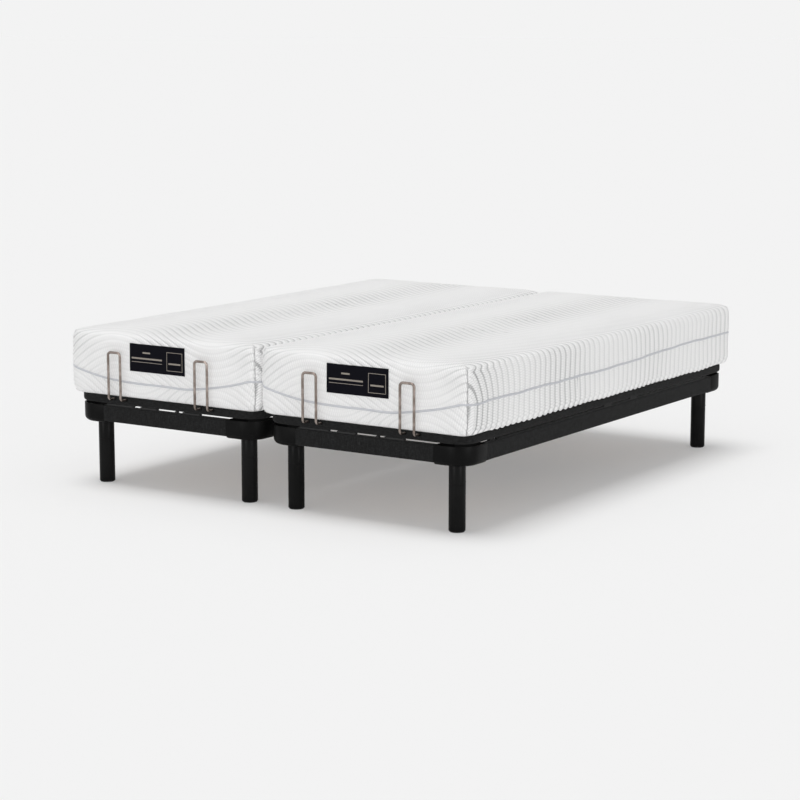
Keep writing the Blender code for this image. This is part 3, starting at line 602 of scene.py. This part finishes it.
def bare_cover():
    """One mattress as a rounded, slightly swollen form with a flat underside."""
    room_around = Vector((SWELL_ROOM, SWELL_ROOM, SWELL_ROOM))
    cover = block("cover", BED_LOW + room_around * ROOM_BELOW, BED_HIGH - room_around)

    def rounding():
        def upright(edge):
            a, b = ends(edge)
            return abs(a.z - b.z) > 0.1
        pick("EDGE", upright)
        bpy.ops.mesh.bevel(offset=COVER_CORNER, segments=6, affect="EDGES")

        def rim(edge):
            a, b = ends(edge)
            return abs(a.z - b.z) < MM and between_wall_and_cap(edge)
        pick("EDGE", rim)
        bpy.ops.mesh.bevel(offset=COVER_EDGE, segments=4, affect="EDGES")

    edit(cover, rounding)
    apply(cover, "REMESH", mode="VOXEL", voxel_size=COVER_VOXEL)
    swell(cover)
    apply(cover, "SUBSURF", levels=2, render_levels=2)
    places = points_of(cover)
    low, high = places.min(axis=0), places.max(axis=0)
    low[2] = BED_LOW.z + room_around.z * ROOM_BELOW
    bed_low = np.array(BED_LOW) + (COVER_INSET, COVER_INSET, 0)
    bed_high = np.array(BED_HIGH) - COVER_INSET
    places = bed_low + (places - low) * (bed_high - bed_low) / (high - low)
    places[:, 2] = np.maximum(places[:, 2], BED_LOW.z)
    set_points(cover, places)
    on_the_cuts(cover, COVER_VOXEL / 8)
    return cover


def on_the_cuts(cover, reach):
    """Moves the points that are very near a cut onto it, so that no thin slivers are left."""
    places = points_of(cover)
    for cut in (BACK_CUT, THIGH_CUT):
        places[np.abs(places[:, 1] - cut) < reach, 1] = cut
    set_points(cover, places)


def tape_height(x, y):
    """Height of the border tape: low in the middle of the foot face, higher to the head."""
    from_dip = np.abs(x - COVER_X + TAPE_DIP_SHIFT) - TAPE_DIP_HALF
    rise = np.clip(from_dip / TAPE_RISE_WIDTH, 0, 1) ** 1.6
    foot = TAPE_LOW + (TAPE_FOOT_CORNER - TAPE_LOW) * rise
    along = (y - BED_LOW.y) / (BED_HIGH.y - BED_LOW.y)
    side = TAPE_FOOT_CORNER + (TAPE_HEAD - TAPE_FOOT_CORNER) * ramp(along, 0.45, 0.85)
    ripple = 1.3 * MM * np.sin(y * 21 + x * 13) + 0.7 * MM * np.sin(y * 47 - x * 31)
    near_foot = 1 - ramp(y - BED_LOW.y, 0, COVER_CORNER)
    return BED_LOW.z + foot * near_foot + side * (1 - near_foot) + ripple


def knit_fields(places):
    """Row number, tick number and strength of the knit at each point, and where the point is."""
    x, y, z = places[:, 0] - COVER_X, places[:, 1], places[:, 2]
    depth = BED_HIGH.z - z
    to_side = COVER_HALF_WIDTH - np.abs(x)
    to_foot, to_head = y - BED_LOW.y, BED_HIGH.y - y
    to_end = np.minimum(to_foot, to_head)
    on_side = to_side < to_end
    wall = ramp(depth, COVER_EDGE * 0.3, COVER_EDGE * 1.4)
    end_sign = np.where(to_foot < to_head, -FACE_STRETCH, FACE_STRETCH)
    above_tape = z - tape_height(places[:, 0], y)
    under_tape = (above_tape < 0) & ~on_side
    drift = np.where(on_side, 0.0, depth * PATTERN_DRIFT)
    phase = (x - PATTERN_CREST - drift) * math.tau / PATTERN_WIDTH
    low_phase = (x - LOWER_PATTERN_CREST) * math.tau / LOWER_PATTERN_WIDTH
    bend = -PATTERN_SWING * np.cos(phase)
    bend = np.where(under_tape, -LOWER_PATTERN_SWING * np.cos(low_phase), bend)
    steep = np.abs(np.sin(np.where(under_tape, low_phase, phase))) ** 2.2
    slant = RIB_SLANT * np.exp(-to_foot / RIB_SLANT_REACH) * np.maximum(above_tape, 0)
    side_run = (slant + 4 * MM * np.sin(depth * 24 + y * 5)) * wall
    run = y + bend + np.where(on_side, side_run, end_sign * depth)
    rows = run / ROW_PITCH
    slope = PATTERN_SWING * math.tau / PATTERN_WIDTH
    bow = slope ** 2 * PATTERN_WIDTH / (8 * math.tau) * np.sin(2 * phase)
    along = x * (1 + slope ** 2 / 4) - bow
    ticks = (along + np.where(on_side, np.sign(x) * depth, 0)) / TICK_PITCH
    swing = 0.8 + 0.2 * np.sin(y * 7 + x * 3)
    flat = 0.14 + 0.50 * steep * swing
    face = 0.16 + 0.42 * steep * (1 - 0.6 * ramp(depth, 40 * MM, 150 * MM))
    fold = np.cos(np.pi * to_foot / FOLD_SPACING) ** 2
    side = 0.34 + 0.50 * fold ** 1.5 * (1 - 0.5 * ramp(to_foot, 0.3, 1.4))
    side += 0.30 * np.exp(-to_foot / FOOT_FOLD_REACH)
    # The strength sets the depth of the relief and also how dark the painted crease shade is; both grow
    # towards the foot corner and along the top rim.
    strength = flat + (np.where(on_side, side, face) - flat) * wall
    rim = np.exp(-((depth - COVER_EDGE * 0.6) / (14 * MM)) ** 2)
    strength = strength + rim * np.where(on_side, 0.25 * side, 0.10)
    return rows, ticks, np.clip(strength, 0, 1), (x, y, z, depth, to_side, to_end, on_side)


def quilt(cover):
    """Raises the rows, sinks the corner seams and the tape's groove, and gathers the edges."""
    places, normals = points_of(cover), points_of(cover, "normal")
    rows, ticks, strength, (x, y, z, depth, to_side, to_end, on_side) = knit_fields(places)
    low_edge = np.exp(-np.maximum(z - BED_LOW.z, 0) / LOW_EDGE_FADE)
    wall = ramp(depth, 4 * MM, 30 * MM) * ramp(z - BED_LOW.z, 0, 4 * MM)
    hump = np.abs(np.cos(math.pi * rows / 2))
    lift = RELIEF * strength * (1 + 0.6 * low_edge * wall) * (1.6 * hump - 1.0)
    seam = np.abs(to_side - to_end)
    near_corner = (1 - ramp(np.maximum(to_side, to_end), 50 * MM, 80 * MM)) * wall
    pinch = np.exp(-(seam / SEAM_WIDTH) ** 2) * near_corner
    lift -= SEAM_DEPTH * pinch
    gathers = np.cos(math.tau * z / GATHER_PITCH + 1.5 * np.sin(z * 60))
    lift += GATHER_DEPTH * gathers * np.exp(-seam / GATHER_REACH) * near_corner
    tape = tape_height(places[:, 0], places[:, 1])
    lift -= GROOVE_DEPTH * np.exp(-((z - tape) / GROOVE_WIDTH) ** 2) * wall
    slow = np.sin(x * 17 + y * 9) + np.sin(y * 23 - z * 31 + 1) + np.sin(x * 41 + z * 37 + 2)
    lift += (0.08 + 0.42 * wall) * MM * slow
    resting = (normals[:, 2] < -0.6) & (z < BED_LOW.z + 10 * MM)
    lift[resting] = 0
    places += normals * lift[:, None]
    low = np.array(BED_LOW) - (SLACK, 2 * SLACK, 0)
    high = np.array(BED_HIGH) + (SLACK, 2 * SLACK, 2 * SLACK)
    places = np.clip(places, low, high)
    to_rim = np.minimum(COVER_HALF_WIDTH - np.abs(places[:, 0] - COVER_X), to_end)
    outside = 1 - ramp(to_rim, 12 * MM, 19 * MM)
    hang = np.where(on_side, SIDE_HANG * ramp(to_end, 60 * MM, 300 * MM), 0)
    hang = np.maximum(hang, END_HANG) * (0.85 + 0.25 * hump)
    places[:, 2] -= hang * outside * np.exp(-np.maximum(z - BED_LOW.z, 0) / HANG_FADE)
    set_points(cover, places)
    on_the_cuts(cover, 1 * MM)
    # The sunken corner seams get the strongest painted crease shade.
    strength = np.maximum(strength, 0.9 * pinch)
    knit = cover.data.attributes.new("knit", "FLOAT_VECTOR", "POINT")
    knit.data.foreach_set("vector", np.column_stack((rows, ticks, strength)).ravel())


def surface_tree(piece):
    """A tree for casting rays onto a piece."""
    shape = bmesh.new()
    shape.from_mesh(piece.data)
    tree = BVHTree.FromBMesh(shape)
    shape.free()
    return tree


def border_tape(tree):
    """The zip tape that runs round the mattress, laid on its cover."""
    half_w = COVER_HALF_WIDTH + TAPE_START
    half_l = (BED_HIGH.y - BED_LOW.y) / 2 + TAPE_START
    middle_y = (BED_HIGH.y + BED_LOW.y) / 2
    corner = COVER_CORNER + TAPE_START
    outline = round_outline(-half_w, half_w, -half_l, half_l, [corner] * 4, 10)
    route = []
    for (u, v), (un, vn) in zip(outline, outline[1:] + outline[:1]):
        steps = max(1, round(math.hypot(un - u, vn - v) / TAPE_STEP))
        route += [(u + (un - u) * i / steps, v + (vn - v) * i / steps) for i in range(steps)]
    laid = []
    for u, v in route:
        z = float(tape_height(np.array(COVER_X + u), np.array(middle_y + v)))
        if abs(u) < half_w - corner:
            inward = Vector((0, -v, 0))
        elif abs(v) < half_l - corner:
            inward = Vector((-u, 0, 0))
        else:
            inward = Vector((math.copysign(half_w - corner, u) - u,
                             math.copysign(half_l - corner, v) - v, 0))
        inward.normalize()
        hit = tree.ray_cast(Vector((COVER_X + u, middle_y + v, z)), inward)[0]
        laid.append(hit - inward * TAPE_OFFSET)
    count = len(laid)
    smooth_route = [(laid[i - 1] + laid[i] + laid[(i + 1) % count]) / 3 for i in range(count)]
    turns = [math.tau * i / 12 for i in range(12)]
    profile = [(TAPE_HALF_THICK * math.cos(turn), TAPE_HALF_HIGH * math.sin(turn)) for turn in turns]
    return swept("tape", smooth_route, profile, closed=True)


def section_of(cover, name, low_y, high_y):
    """The part of the cover between two cuts, closed at each cut."""
    part = copied(cover, name)

    def cut():
        for y, direction in ((low_y, 1), (high_y, -1)):
            if y is None:
                continue
            bpy.ops.mesh.select_all(action="SELECT")
            bpy.ops.mesh.bisect(plane_co=(0, y, 0), plane_no=(0, direction, 0), use_fill=True,
                                clear_inner=True, threshold=1e-6)

    edit(part, cut)
    return smooth(part, 50)


def mattresses():
    """Both mattresses, each cut into three parts."""
    cover = bare_cover()
    quilt(cover)
    cover.data.materials.clear()
    cover.data.materials.append(TICKING)
    tree = surface_tree(cover)
    tape = border_tape(tree)
    tape.data.materials.append(TAPE)
    cover = joined("cover", [cover, tape])
    parts = {
        "back": (BACK_CUT, None, ("back",)),
        "middle": (THIGH_CUT, BACK_CUT, ("seat", "thigh")),
        "calf": (None, THIGH_CUT, ("calf",)),
    }
    for key, (low_y, high_y, sections) in parts.items():
        part = section_of(cover, f"left_mattress_{key}_part", low_y, high_y)
        twin = copied(part, f"right_mattress_{key}_part", (HALF_STEP, 0, 0))
        for half, piece in zip(HALVES, (part, twin)):
            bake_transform(piece)
            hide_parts(*[f"{half}_mattress_{section}" for section in sections])
    bpy.data.objects.remove(cover)
    return tree


# ---------------------------------------- label and retainers
LABEL_WIDTH = 262 * MM
LABEL_LOW = 108 * MM
LABEL_HIGH = 213 * MM
LABEL_THICKNESS = 1.2 * MM
LABEL_SHIFT = 10 * MM
LABEL_CLEARANCE = 1.6 * MM
LABEL_STEP = 12 * MM
LABEL_REACH = (-20 * MM, -10 * MM, 0, 10 * MM, 20 * MM)
BAR_FRONT = -0.5 * MM
BAR_BACK = 0.4 * MM
ROD_RADIUS = 5 * MM
ROD_ROOM = Vector((ROD_RADIUS, ROD_RADIUS, ROD_RADIUS))
ROD_BEND = 13 * MM
COLLAR_RADIUS = 7.5 * MM
COLLAR_DEPTH = 2.4 * MM
# Plain sewn bars: left and right from the label's left end, low and high from its top, in mm.
LABEL_BARS = (
    (63, 99, 35, 29), (10, 155, 57, 51), (10, 155, 69, 67), (186, 242, 67, 61),
    (177, 251, 91, 89), (177, 251, 23, 21), (177, 179, 90, 22), (249, 251, 90, 22),
)


def labels(tree):
    """A plain black label with a few sewn bars, following the foot face."""
    middle = COVER_X - LABEL_SHIFT
    left, right = middle - LABEL_WIDTH / 2, middle + LABEL_WIDTH / 2
    low, high = BED_LOW.z + LABEL_LOW, BED_LOW.z + LABEL_HIGH
    label = block("label", (left, 0, low), (right, LABEL_THICKNESS, high))
    label.data.materials.append(LABEL_CLOTH)
    bits = [label]
    for x0, x1, z0, z1 in LABEL_BARS:
        bar = block("bar", (left + x0 * MM, BAR_FRONT, high - z0 * MM),
                    (left + x1 * MM, BAR_BACK, high - z1 * MM))
        bar.data.materials.append(LABEL_THREAD)
        bits.append(bar)
    for bit in bits:
        soften(bit, 0.3 * MM, 1, 60)
    label = joined("label", bits)

    def slice_up():
        for axis, first, last in ((0, left, right), (2, low, high)):
            for i in range(1, int((last - first) / LABEL_STEP) + 1):
                place, normal = [0, 0, 0], [0, 0, 0]
                place[axis], normal[axis] = first + i * LABEL_STEP, 1
                bpy.ops.mesh.select_all(action="SELECT")
                bpy.ops.mesh.bisect(plane_co=place, plane_no=normal)

    edit(label, slice_up)
    places = points_of(label)
    ahead = Vector((0, 1, 0))
    for place in places:
        spots = [(place[0] + dx, place[2] + dz) for dx in LABEL_REACH for dz in LABEL_REACH]
        hits = [tree.ray_cast(Vector((u, BED_LOW.y - 0.1, v)), ahead)[0] for u, v in spots]
        place[1] += sum(sorted(hit.y for hit in hits)[:3]) / 3 - LABEL_CLEARANCE
    set_points(label, places)
    smooth(label, 40)
    for half in HALVES:
        piece = copied(label, f"{half}_label", (HALF_X[half] - HALF_X["left"], 0, 0))
        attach(piece, f"{half}_calf")
    bpy.data.objects.remove(label)


def retainers():
    """Bent rods plugged into the foot bar, with a collar where each one enters."""
    for half in HALVES:
        for side in ("outer", "inner"):
            node = f"{half}_retainer_{side}"
            low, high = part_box(node)
            back, low, high = high.y, low + ROD_ROOM, high - ROD_ROOM
            y, bend = low.y, ROD_BEND
            lower_bend = arc(y + bend, low.z + bend, bend, 270, 180, 10)
            upper_bend = arc(low.x + bend, high.z - bend, bend, 180, 90, 10)
            half_route = [(low.x, back, low.z)]
            half_route += [(low.x, v, w) for v, w in lower_bend] + [(u, y, w) for u, w in upper_bend]
            route = half_route + [(low.x + high.x - u, v, w) for u, v, w in reversed(half_route)]
            piece = smooth(rod(f"{node}_rod", route, ROD_RADIUS), 40)
            dress(piece, ROD_METAL)
            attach(piece, f"{half}_calf")
            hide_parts(node)
            for number, x in enumerate((low.x, high.x)):
                spot = (x, FRAME_LOW.y - COLLAR_DEPTH / 2, low.z)
                collar = drum(f"{node}_collar_{number}", spot, COLLAR_RADIUS, COLLAR_DEPTH, "Y")
                soften(collar, 0.8 * MM)
                dress(smooth(collar), CORNER_PLASTIC)
                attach(collar, f"{half}_calf")


# ---------------------------------------- legs, corners and rails
CORNER_RADIUS = 80 * MM
CORNER_HULL = 20 * MM
CORNER_WALL = 6 * MM
CORNER_FLOOR = 2 * MM
LEG_SEAM = 170 * MM
LEG_SEAM_DEPTH = 0.9 * MM
LEG_SEAM_HALF = 1.4 * MM
LEG_LIFT = 3 * MM
SCREW_RADIUS = 2.4 * MM
SCREW_ABOVE_SEAM = 7 * MM
SCREW_SINK = 0.6 * MM
SCREW_TURNS = (-120, 20)
GLIDE_DEPTH = 4.4 * MM
GLIDE_INSET = 3.5 * MM


def legs():
    """Lacquered tubes with a turned seam, a grub screw and a glide."""
    low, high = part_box("left_leg_foot_outer")
    radius, height = (high.x - low.x) / 2, high.z
    leg = drum("leg", (0, 0, (height + LEG_LIFT) / 2), radius, height - LEG_LIFT, "Z", 56)

    def turn():
        for z in (LEG_SEAM - LEG_SEAM_HALF, LEG_SEAM, LEG_SEAM + LEG_SEAM_HALF):
            bpy.ops.mesh.select_all(action="SELECT")
            bpy.ops.mesh.bisect(plane_co=(0, 0, z), plane_no=(0, 0, 1))
        pick("EDGE", lambda edge: all(abs(co.z - LEG_SEAM) < 0.2 * MM for co in ends(edge)))
        shrink = 1 - LEG_SEAM_DEPTH / radius
        bpy.ops.transform.resize(value=(shrink, shrink, 1))
        pick("EDGE", lambda edge: all(co.z < LEG_LIFT + MM for co in ends(edge)))
        bpy.ops.mesh.bevel(offset=3 * MM, segments=3, affect="EDGES")
        pick("EDGE", lambda edge: all(co.z > height - MM for co in ends(edge)))
        bpy.ops.mesh.bevel(offset=1 * MM, segments=2, affect="EDGES")

    edit(leg, turn)
    screws = []
    for angle in map(math.radians, SCREW_TURNS):
        place = Vector((math.cos(angle), math.sin(angle), 0)) * (radius - SCREW_SINK)
        place.z = LEG_SEAM + SCREW_ABOVE_SEAM
        screw = drum("screw", (0, 0, 0), SCREW_RADIUS, SCREW_RADIUS, "X", 16)

        def socket():
            pick("FACE", lambda face: face.normal.x > 0.9)
            bpy.ops.mesh.inset(thickness=0.9 * MM)
            bpy.ops.mesh.extrude_region_move(TRANSFORM_OT_translate={"value": (-1.2 * MM, 0, 0)})

        edit(screw, socket)
        screw.data.transform(Matrix.Translation(place) @ Matrix.Rotation(angle, 4, "Z"))
        screws.append(screw)
    leg = smooth(joined("leg", [leg] + screws), 30)
    glide = drum("glide", (0, 0, GLIDE_DEPTH / 2), radius - GLIDE_INSET, GLIDE_DEPTH, "Z", 40)
    smooth(soften(glide, 1 * MM), 40)
    for half in HALVES:
        for end in ("foot", "head"):
            for side in ("outer", "inner"):
                node = f"{half}_leg_{end}_{side}"
                low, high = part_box(node)
                spot = ((low.x + high.x) / 2, (low.y + high.y) / 2, 0)
                tube = dress(copied(leg, f"{node}_tube", spot), LEG_LACQUER)
                foot = dress(copied(glide, f"{node}_glide", spot), GLIDE_PLASTIC)
                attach(tube, "base")
                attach(foot, "base")
                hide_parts(node)
    bpy.data.objects.remove(leg)
    bpy.data.objects.remove(glide)


def corner_pieces():
    """Moulded corners: one is modelled and mirrored into the other places."""
    low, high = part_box("left_corner_foot_outer")
    corner = block("corner", low, high)
    hollow = high.z - low.z - CORNER_HULL - CORNER_FLOOR

    def outer_edge(edge):
        return all(abs(co.x - low.x) < MM and abs(co.y - low.y) < MM for co in ends(edge))

    def under_rim(edge):
        a, b = ends(edge)
        inside = min(a.x, b.x) > high.x - MM or min(a.y, b.y) > high.y - MM
        return max(a.z, b.z) < low.z + MM and not inside

    def mould():
        pick("EDGE", outer_edge)
        bpy.ops.mesh.bevel(offset=CORNER_RADIUS, segments=22, affect="EDGES")
        pick("FACE", lambda face: face.normal.z > 0.9)
        bpy.ops.mesh.inset(thickness=CORNER_WALL)
        bpy.ops.mesh.extrude_region_move(TRANSFORM_OT_translate={"value": (0, 0, -hollow)})
        pick("EDGE", under_rim)
        bpy.ops.mesh.bevel(offset=CORNER_HULL, segments=6, affect="EDGES")

    edit(corner, mould)
    smooth(soften(corner, 1.0 * MM, 2, 50), 35)
    centre_y = (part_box("left_corner_head_outer")[1].y + low.y) / 2
    centre = Vector((HALF_X["left"], centre_y, 0))
    corner.data.transform(Matrix.Translation(-centre))
    for half in HALVES:
        for end, flip_y in (("foot", 1), ("head", -1)):
            for side, flip_x in (("outer", 1), ("inner", -1)):
                flip_x = flip_x if half == "left" else -flip_x
                node = f"{half}_corner_{end}_{side}"
                spot = (HALF_X[half], centre_y, 0)
                piece = copied(corner, f"{node}_moulding", spot, (flip_x, flip_y, 1))
                dress(piece, CORNER_PLASTIC)
                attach(piece, "base")
                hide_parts(node)
    bpy.data.objects.remove(corner)


# The cloth wraps the upper frame's bars and ends short of each hinge, where a sleeve covers it.
WRAP = 0.8 * MM
WRAP_GAP = 6 * MM
RAIL_WIDTH = 25 * MM
HOOP_RADIUS = 75 * MM
NOSE = 10 * MM
SLEEVE = 0.5 * MM
SLEEVE_REACH = 22 * MM


def upper_wraps():
    """The cloth cover of the upper frame's outer bars, one for each section."""
    half_w = FRAME_HIGH.x - HALF_X["left"]
    profile = round_outline(-RAIL_WIDTH, WRAP, -WRAP, UPPER_TOP - UPPER_BOTTOM + 0.2 * MM,
                            [3 * MM, NOSE, NOSE * 0.6, 3 * MM], 5)
    z = UPPER_BOTTOM

    def straight(y0, y1):
        return [[(half_w, y0, z), (half_w, y1, z)], [(-half_w, y1, z), (-half_w, y0, z)]]

    def hoop(open_y, end_y):
        sign = 1 if end_y > open_y else -1
        bend = arc(half_w - HOOP_RADIUS, end_y - sign * HOOP_RADIUS, HOOP_RADIUS, 0, sign * 90, 24)
        one_side = [(half_w, open_y, z)] + [(u, v, z) for u, v in bend]
        route = one_side + [(-u, v, w) for u, v, w in reversed(one_side)]
        return [route if sign > 0 else list(reversed(route))]

    runs = {
        "back": ("{}_back", hoop(BACK_HINGE_Y + WRAP_GAP, FRAME_HIGH.y)),
        "seat": ("base", straight(THIGH_HINGE_Y + WRAP_GAP, BACK_HINGE_Y - WRAP_GAP)),
        "thigh": ("{}_thigh", straight(KNEE_HINGE_Y + WRAP_GAP, THIGH_HINGE_Y - WRAP_GAP)),
        "calf": ("{}_calf", hoop(KNEE_HINGE_Y - WRAP_GAP, FRAME_LOW.y)),
    }
    sleeves = {
        "back_sleeve": ("{}_back", "base", BACK_HINGE_Y),
        "thigh_sleeve": ("base", "{}_thigh", THIGH_HINGE_Y),
        "knee_sleeve": ("{}_thigh", "{}_calf", KNEE_HINGE_Y),
    }
    middle = RAIL_WIDTH / 2
    loose = [(u + (SLEEVE if u > -middle else 0), v + (SLEEVE if v > middle else -SLEEVE))
             for u, v in profile]
    for half in HALVES:
        x = HALF_X[half]
        for section, (body, routes) in runs.items():
            for number, route in enumerate(routes):
                route = [(x + u, v, w) for u, v, w in route]
                piece = swept(f"{half}_{section}_wrap_{number}", route, profile)
                dress(smooth(piece, 40), CHARCOAL)
                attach(piece, body.format(half))
        for name, (first, second, y) in sleeves.items():
            for number, (start, end) in enumerate(straight(y - SLEEVE_REACH, y + SLEEVE_REACH)):
                steps = [Vector(start).lerp(Vector(end), i / 16) + Vector((x, 0, 0)) for i in range(17)]
                piece = swept(f"{half}_{name}_{number}", steps, loose)
                dress(smooth(piece, 40), CHARCOAL)
                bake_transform(piece)


STRIP_WIDTH = 14 * MM
STRIP_END = 205 * MM
REST_INSET = 6 * MM
REST_WIDTH = 16 * MM
REST_ROOM = 2 * MM
REST_SINK = 0.5 * MM
# Where each rubber rest starts and ends, in mm from the left end of the upper frame.
REST_SPANS = ((150, 277), (313, 393), (480, 490), (516, 598))


def rests():
    """Cloth strips on the side rails and rubber rests on the foot rail, under the upper frame."""
    top = UPPER_BOTTOM - REST_ROOM
    for half, outward in (("left", -1), ("right", 1)):
        low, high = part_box(f"{half}_side_rail_outer")
        face = low.x if outward < 0 else high.x
        left, right = sorted((face - outward * 0.6 * MM, face - outward * STRIP_WIDTH))
        bottom = high.z - REST_SINK
        strip = block(f"{half}_rest_strip", (left, FRAME_LOW.y + STRIP_END, bottom),
                      (right, FRAME_HIGH.y - STRIP_END, top))
        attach(dress(smooth(soften(strip, 2 * MM, 3)), CHARCOAL), "base")
        low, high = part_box(f"{half}_foot_rail")
        start = HALF_X[half] - (FRAME_HIGH.x - HALF_X["left"])
        front, bottom = low.y + REST_INSET, high.z - REST_SINK
        for number, (first, last) in enumerate(REST_SPANS):
            rest = block(f"{half}_rest_{number}", (start + first * MM, front, bottom),
                         (start + last * MM, front + REST_WIDTH, top))
            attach(dress(smooth(soften(rest, 1.5 * MM, 2)), HOLDER_RUBBER), "base")


# ---------------------------------------- slats
SLAT_WIDTH = 55 * MM
SLAT_PITCH = 88 * MM
SLAT_CORNER = 10 * MM
SLAT_EDGE = 2.2 * MM
SLAT_ROOM = 3 * MM
HOLDER_REACH = 32 * MM
HOLDER_WALL = 4 * MM


def slats():
    """Separate sprung slats, each in two rubber holders."""
    low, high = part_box("left_seat_slats")
    half_length = (high.x - low.x) / 2 - SLAT_ROOM
    half_width = SLAT_WIDTH / 2
    slat = block("slat", (-half_length, -half_width, low.z), (half_length, half_width, high.z))

    def shape_slat():
        pick("EDGE", lambda edge: abs(ends(edge)[0].z - ends(edge)[1].z) > 5 * MM)
        bpy.ops.mesh.bevel(offset=SLAT_CORNER, segments=4, affect="EDGES")
        pick("EDGE", between_wall_and_cap)
        bpy.ops.mesh.bevel(offset=SLAT_EDGE, segments=3, affect="EDGES")

    smooth(edit(slat, shape_slat), 30)
    outside = half_width + HOLDER_WALL
    holder = block("holder", (half_length - HOLDER_REACH, -outside, low.z - 3 * MM),
                   (half_length + HOLDER_WALL, outside, high.z + 0.8 * MM))

    def shape_holder():
        pick("FACE", lambda face: face.normal.x < -0.9)
        bpy.ops.mesh.inset(thickness=2 * MM)
        pick("FACE", lambda face: face.normal.z < -0.9)
        bpy.ops.mesh.inset(thickness=7 * MM)
        bpy.ops.mesh.extrude_region_move(TRANSFORM_OT_translate={"value": (0, 0, -HOLDER_WALL)})

    smooth(soften(edit(holder, shape_holder), 1.2 * MM, 2), 40)
    for half in HALVES:
        for section in SECTIONS:
            node = f"{half}_{section}_slats"
            low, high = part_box(node)
            body = "base" if section == "seat" else f"{half}_{section}"
            count = max(2, round((high.y - low.y) / SLAT_PITCH))
            pitch = (high.y - low.y - SLAT_WIDTH) / (count - 1)
            for number in range(count):
                y = low.y + SLAT_WIDTH / 2 + pitch * number
                spot = (HALF_X[half], y, 0)
                piece = dress(copied(slat, f"{half}_{section}_slat_{number}", spot), BEECH)
                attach(piece, body)
                if number == 0:
                    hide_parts(node)
                for side, flip in (("a", 1), ("b", -1)):
                    cap = copied(holder, f"{half}_{section}_holder_{number}{side}", spot, (flip, 1, 1))
                    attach(dress(cap, HOLDER_RUBBER), body)
    bpy.data.objects.remove(slat)
    bpy.data.objects.remove(holder)


# ---------------------------------------- carried-over nodes
def dress_frame():
    """Better finishes for the CAD nodes that stay."""
    finishes = {"rail": CHARCOAL, "motor": MOTOR_PLASTIC}
    for name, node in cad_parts.items():
        finish = next((finishes[key] for key in finishes if key in name), STEEL)
        if not node.material_slots:
            node.data.materials.append(finish)
        for slot in node.material_slots:
            slot.material = finish


# ---------------------------------------- room, light and camera
CAMERA_PLACE = (4.7912, -7.3624, 1.7332)
CAMERA_TILT = 80.47
CAMERA_TURN = 33.39
CAMERA_LENS = 100.05
# How pale the floor and the backdrop look, and how much of the floor's shadow is filled.
ROOM_LEVEL = 0.896
SKY_LIGHT = 0.42
SHADOW_FILL = 0.18
FLOOR_COLOUR = 0.868
FLOOR_SIZE = 600
LAMP_SPREAD = 30
# Each lamp's side, its strength, and whether it casts shadows.
LAMPS = {
    "key": ((-0.10, -0.06, 0.99), 1.41, True),
    "front_fill": ((-0.20, -0.95, 0.25), 0.95, False),
    "side_fill": ((0.95, -0.20, 0.25), 1.13, False),
}


def room():
    """A wide pale floor, an even sky, a soft lamp overhead and two fills that cast no shadow."""
    deselect_all()
    bpy.ops.mesh.primitive_plane_add(size=FLOOR_SIZE)
    floor = bpy.context.object
    floor.name = "floor"
    finish = new_finish("pale_floor")
    plain = finish.node("ShaderNodeBsdfDiffuse", None, {"Color": grey(FLOOR_COLOUR)})
    glow = finish.node("ShaderNodeEmission", None, {"Color": grey(ROOM_LEVEL), "Strength": 1.0})
    seen = finish.node("ShaderNodeLightPath").out("Is Camera Ray")
    mixed = finish.node("ShaderNodeMixShader", None, {0: seen * SHADOW_FILL, 1: plain, 2: glow})
    finish.node("ShaderNodeOutputMaterial", None, {"Surface": mixed})
    floor.data.materials.append(finish.owner)

    world = bpy.data.worlds.new("studio")
    scene.world = world
    air = Finish(world)
    path = air.node("ShaderNodeLightPath")
    seen = path.out("Is Camera Ray").math("MAXIMUM", path.out("Is Transmission Ray"))
    seen = seen.math("MAXIMUM", path.out("Is Glossy Ray"))
    sky = air.node("ShaderNodeBackground", None, {"Color": (1, 1, 1, 1), "Strength": SKY_LIGHT})
    backdrop = air.node("ShaderNodeBackground", None, {"Color": grey(ROOM_LEVEL), "Strength": 1.0})
    mixed = air.node("ShaderNodeMixShader", None, {0: seen, 1: sky, 2: backdrop})
    air.node("ShaderNodeOutputWorld", None, {"Surface": mixed})

    for name, (towards, strength, casts) in LAMPS.items():
        lamp = bpy.data.lights.new(name, "SUN")
        lamp.energy = strength
        lamp.angle = math.radians(LAMP_SPREAD)
        lamp.use_shadow = casts
        holder = bpy.data.objects.new(name, lamp)
        holder.rotation_euler = Vector(towards).to_track_quat("Z", "Y").to_euler()
        scene.collection.objects.link(holder)

    lens = bpy.data.cameras.new("camera")
    lens.lens = CAMERA_LENS
    lens.clip_end = FLOOR_SIZE
    camera = bpy.data.objects.new("camera", lens)
    camera.location = CAMERA_PLACE
    camera.rotation_euler = (math.radians(CAMERA_TILT), 0, math.radians(CAMERA_TURN))
    scene.collection.objects.link(camera)
    scene.camera = camera
    scene.view_settings.view_transform = "Standard"


room()
dress_frame()
cover_surface = mattresses()
labels(cover_surface)
retainers()
legs()
corner_pieces()
upper_wraps()
rests()
slats()
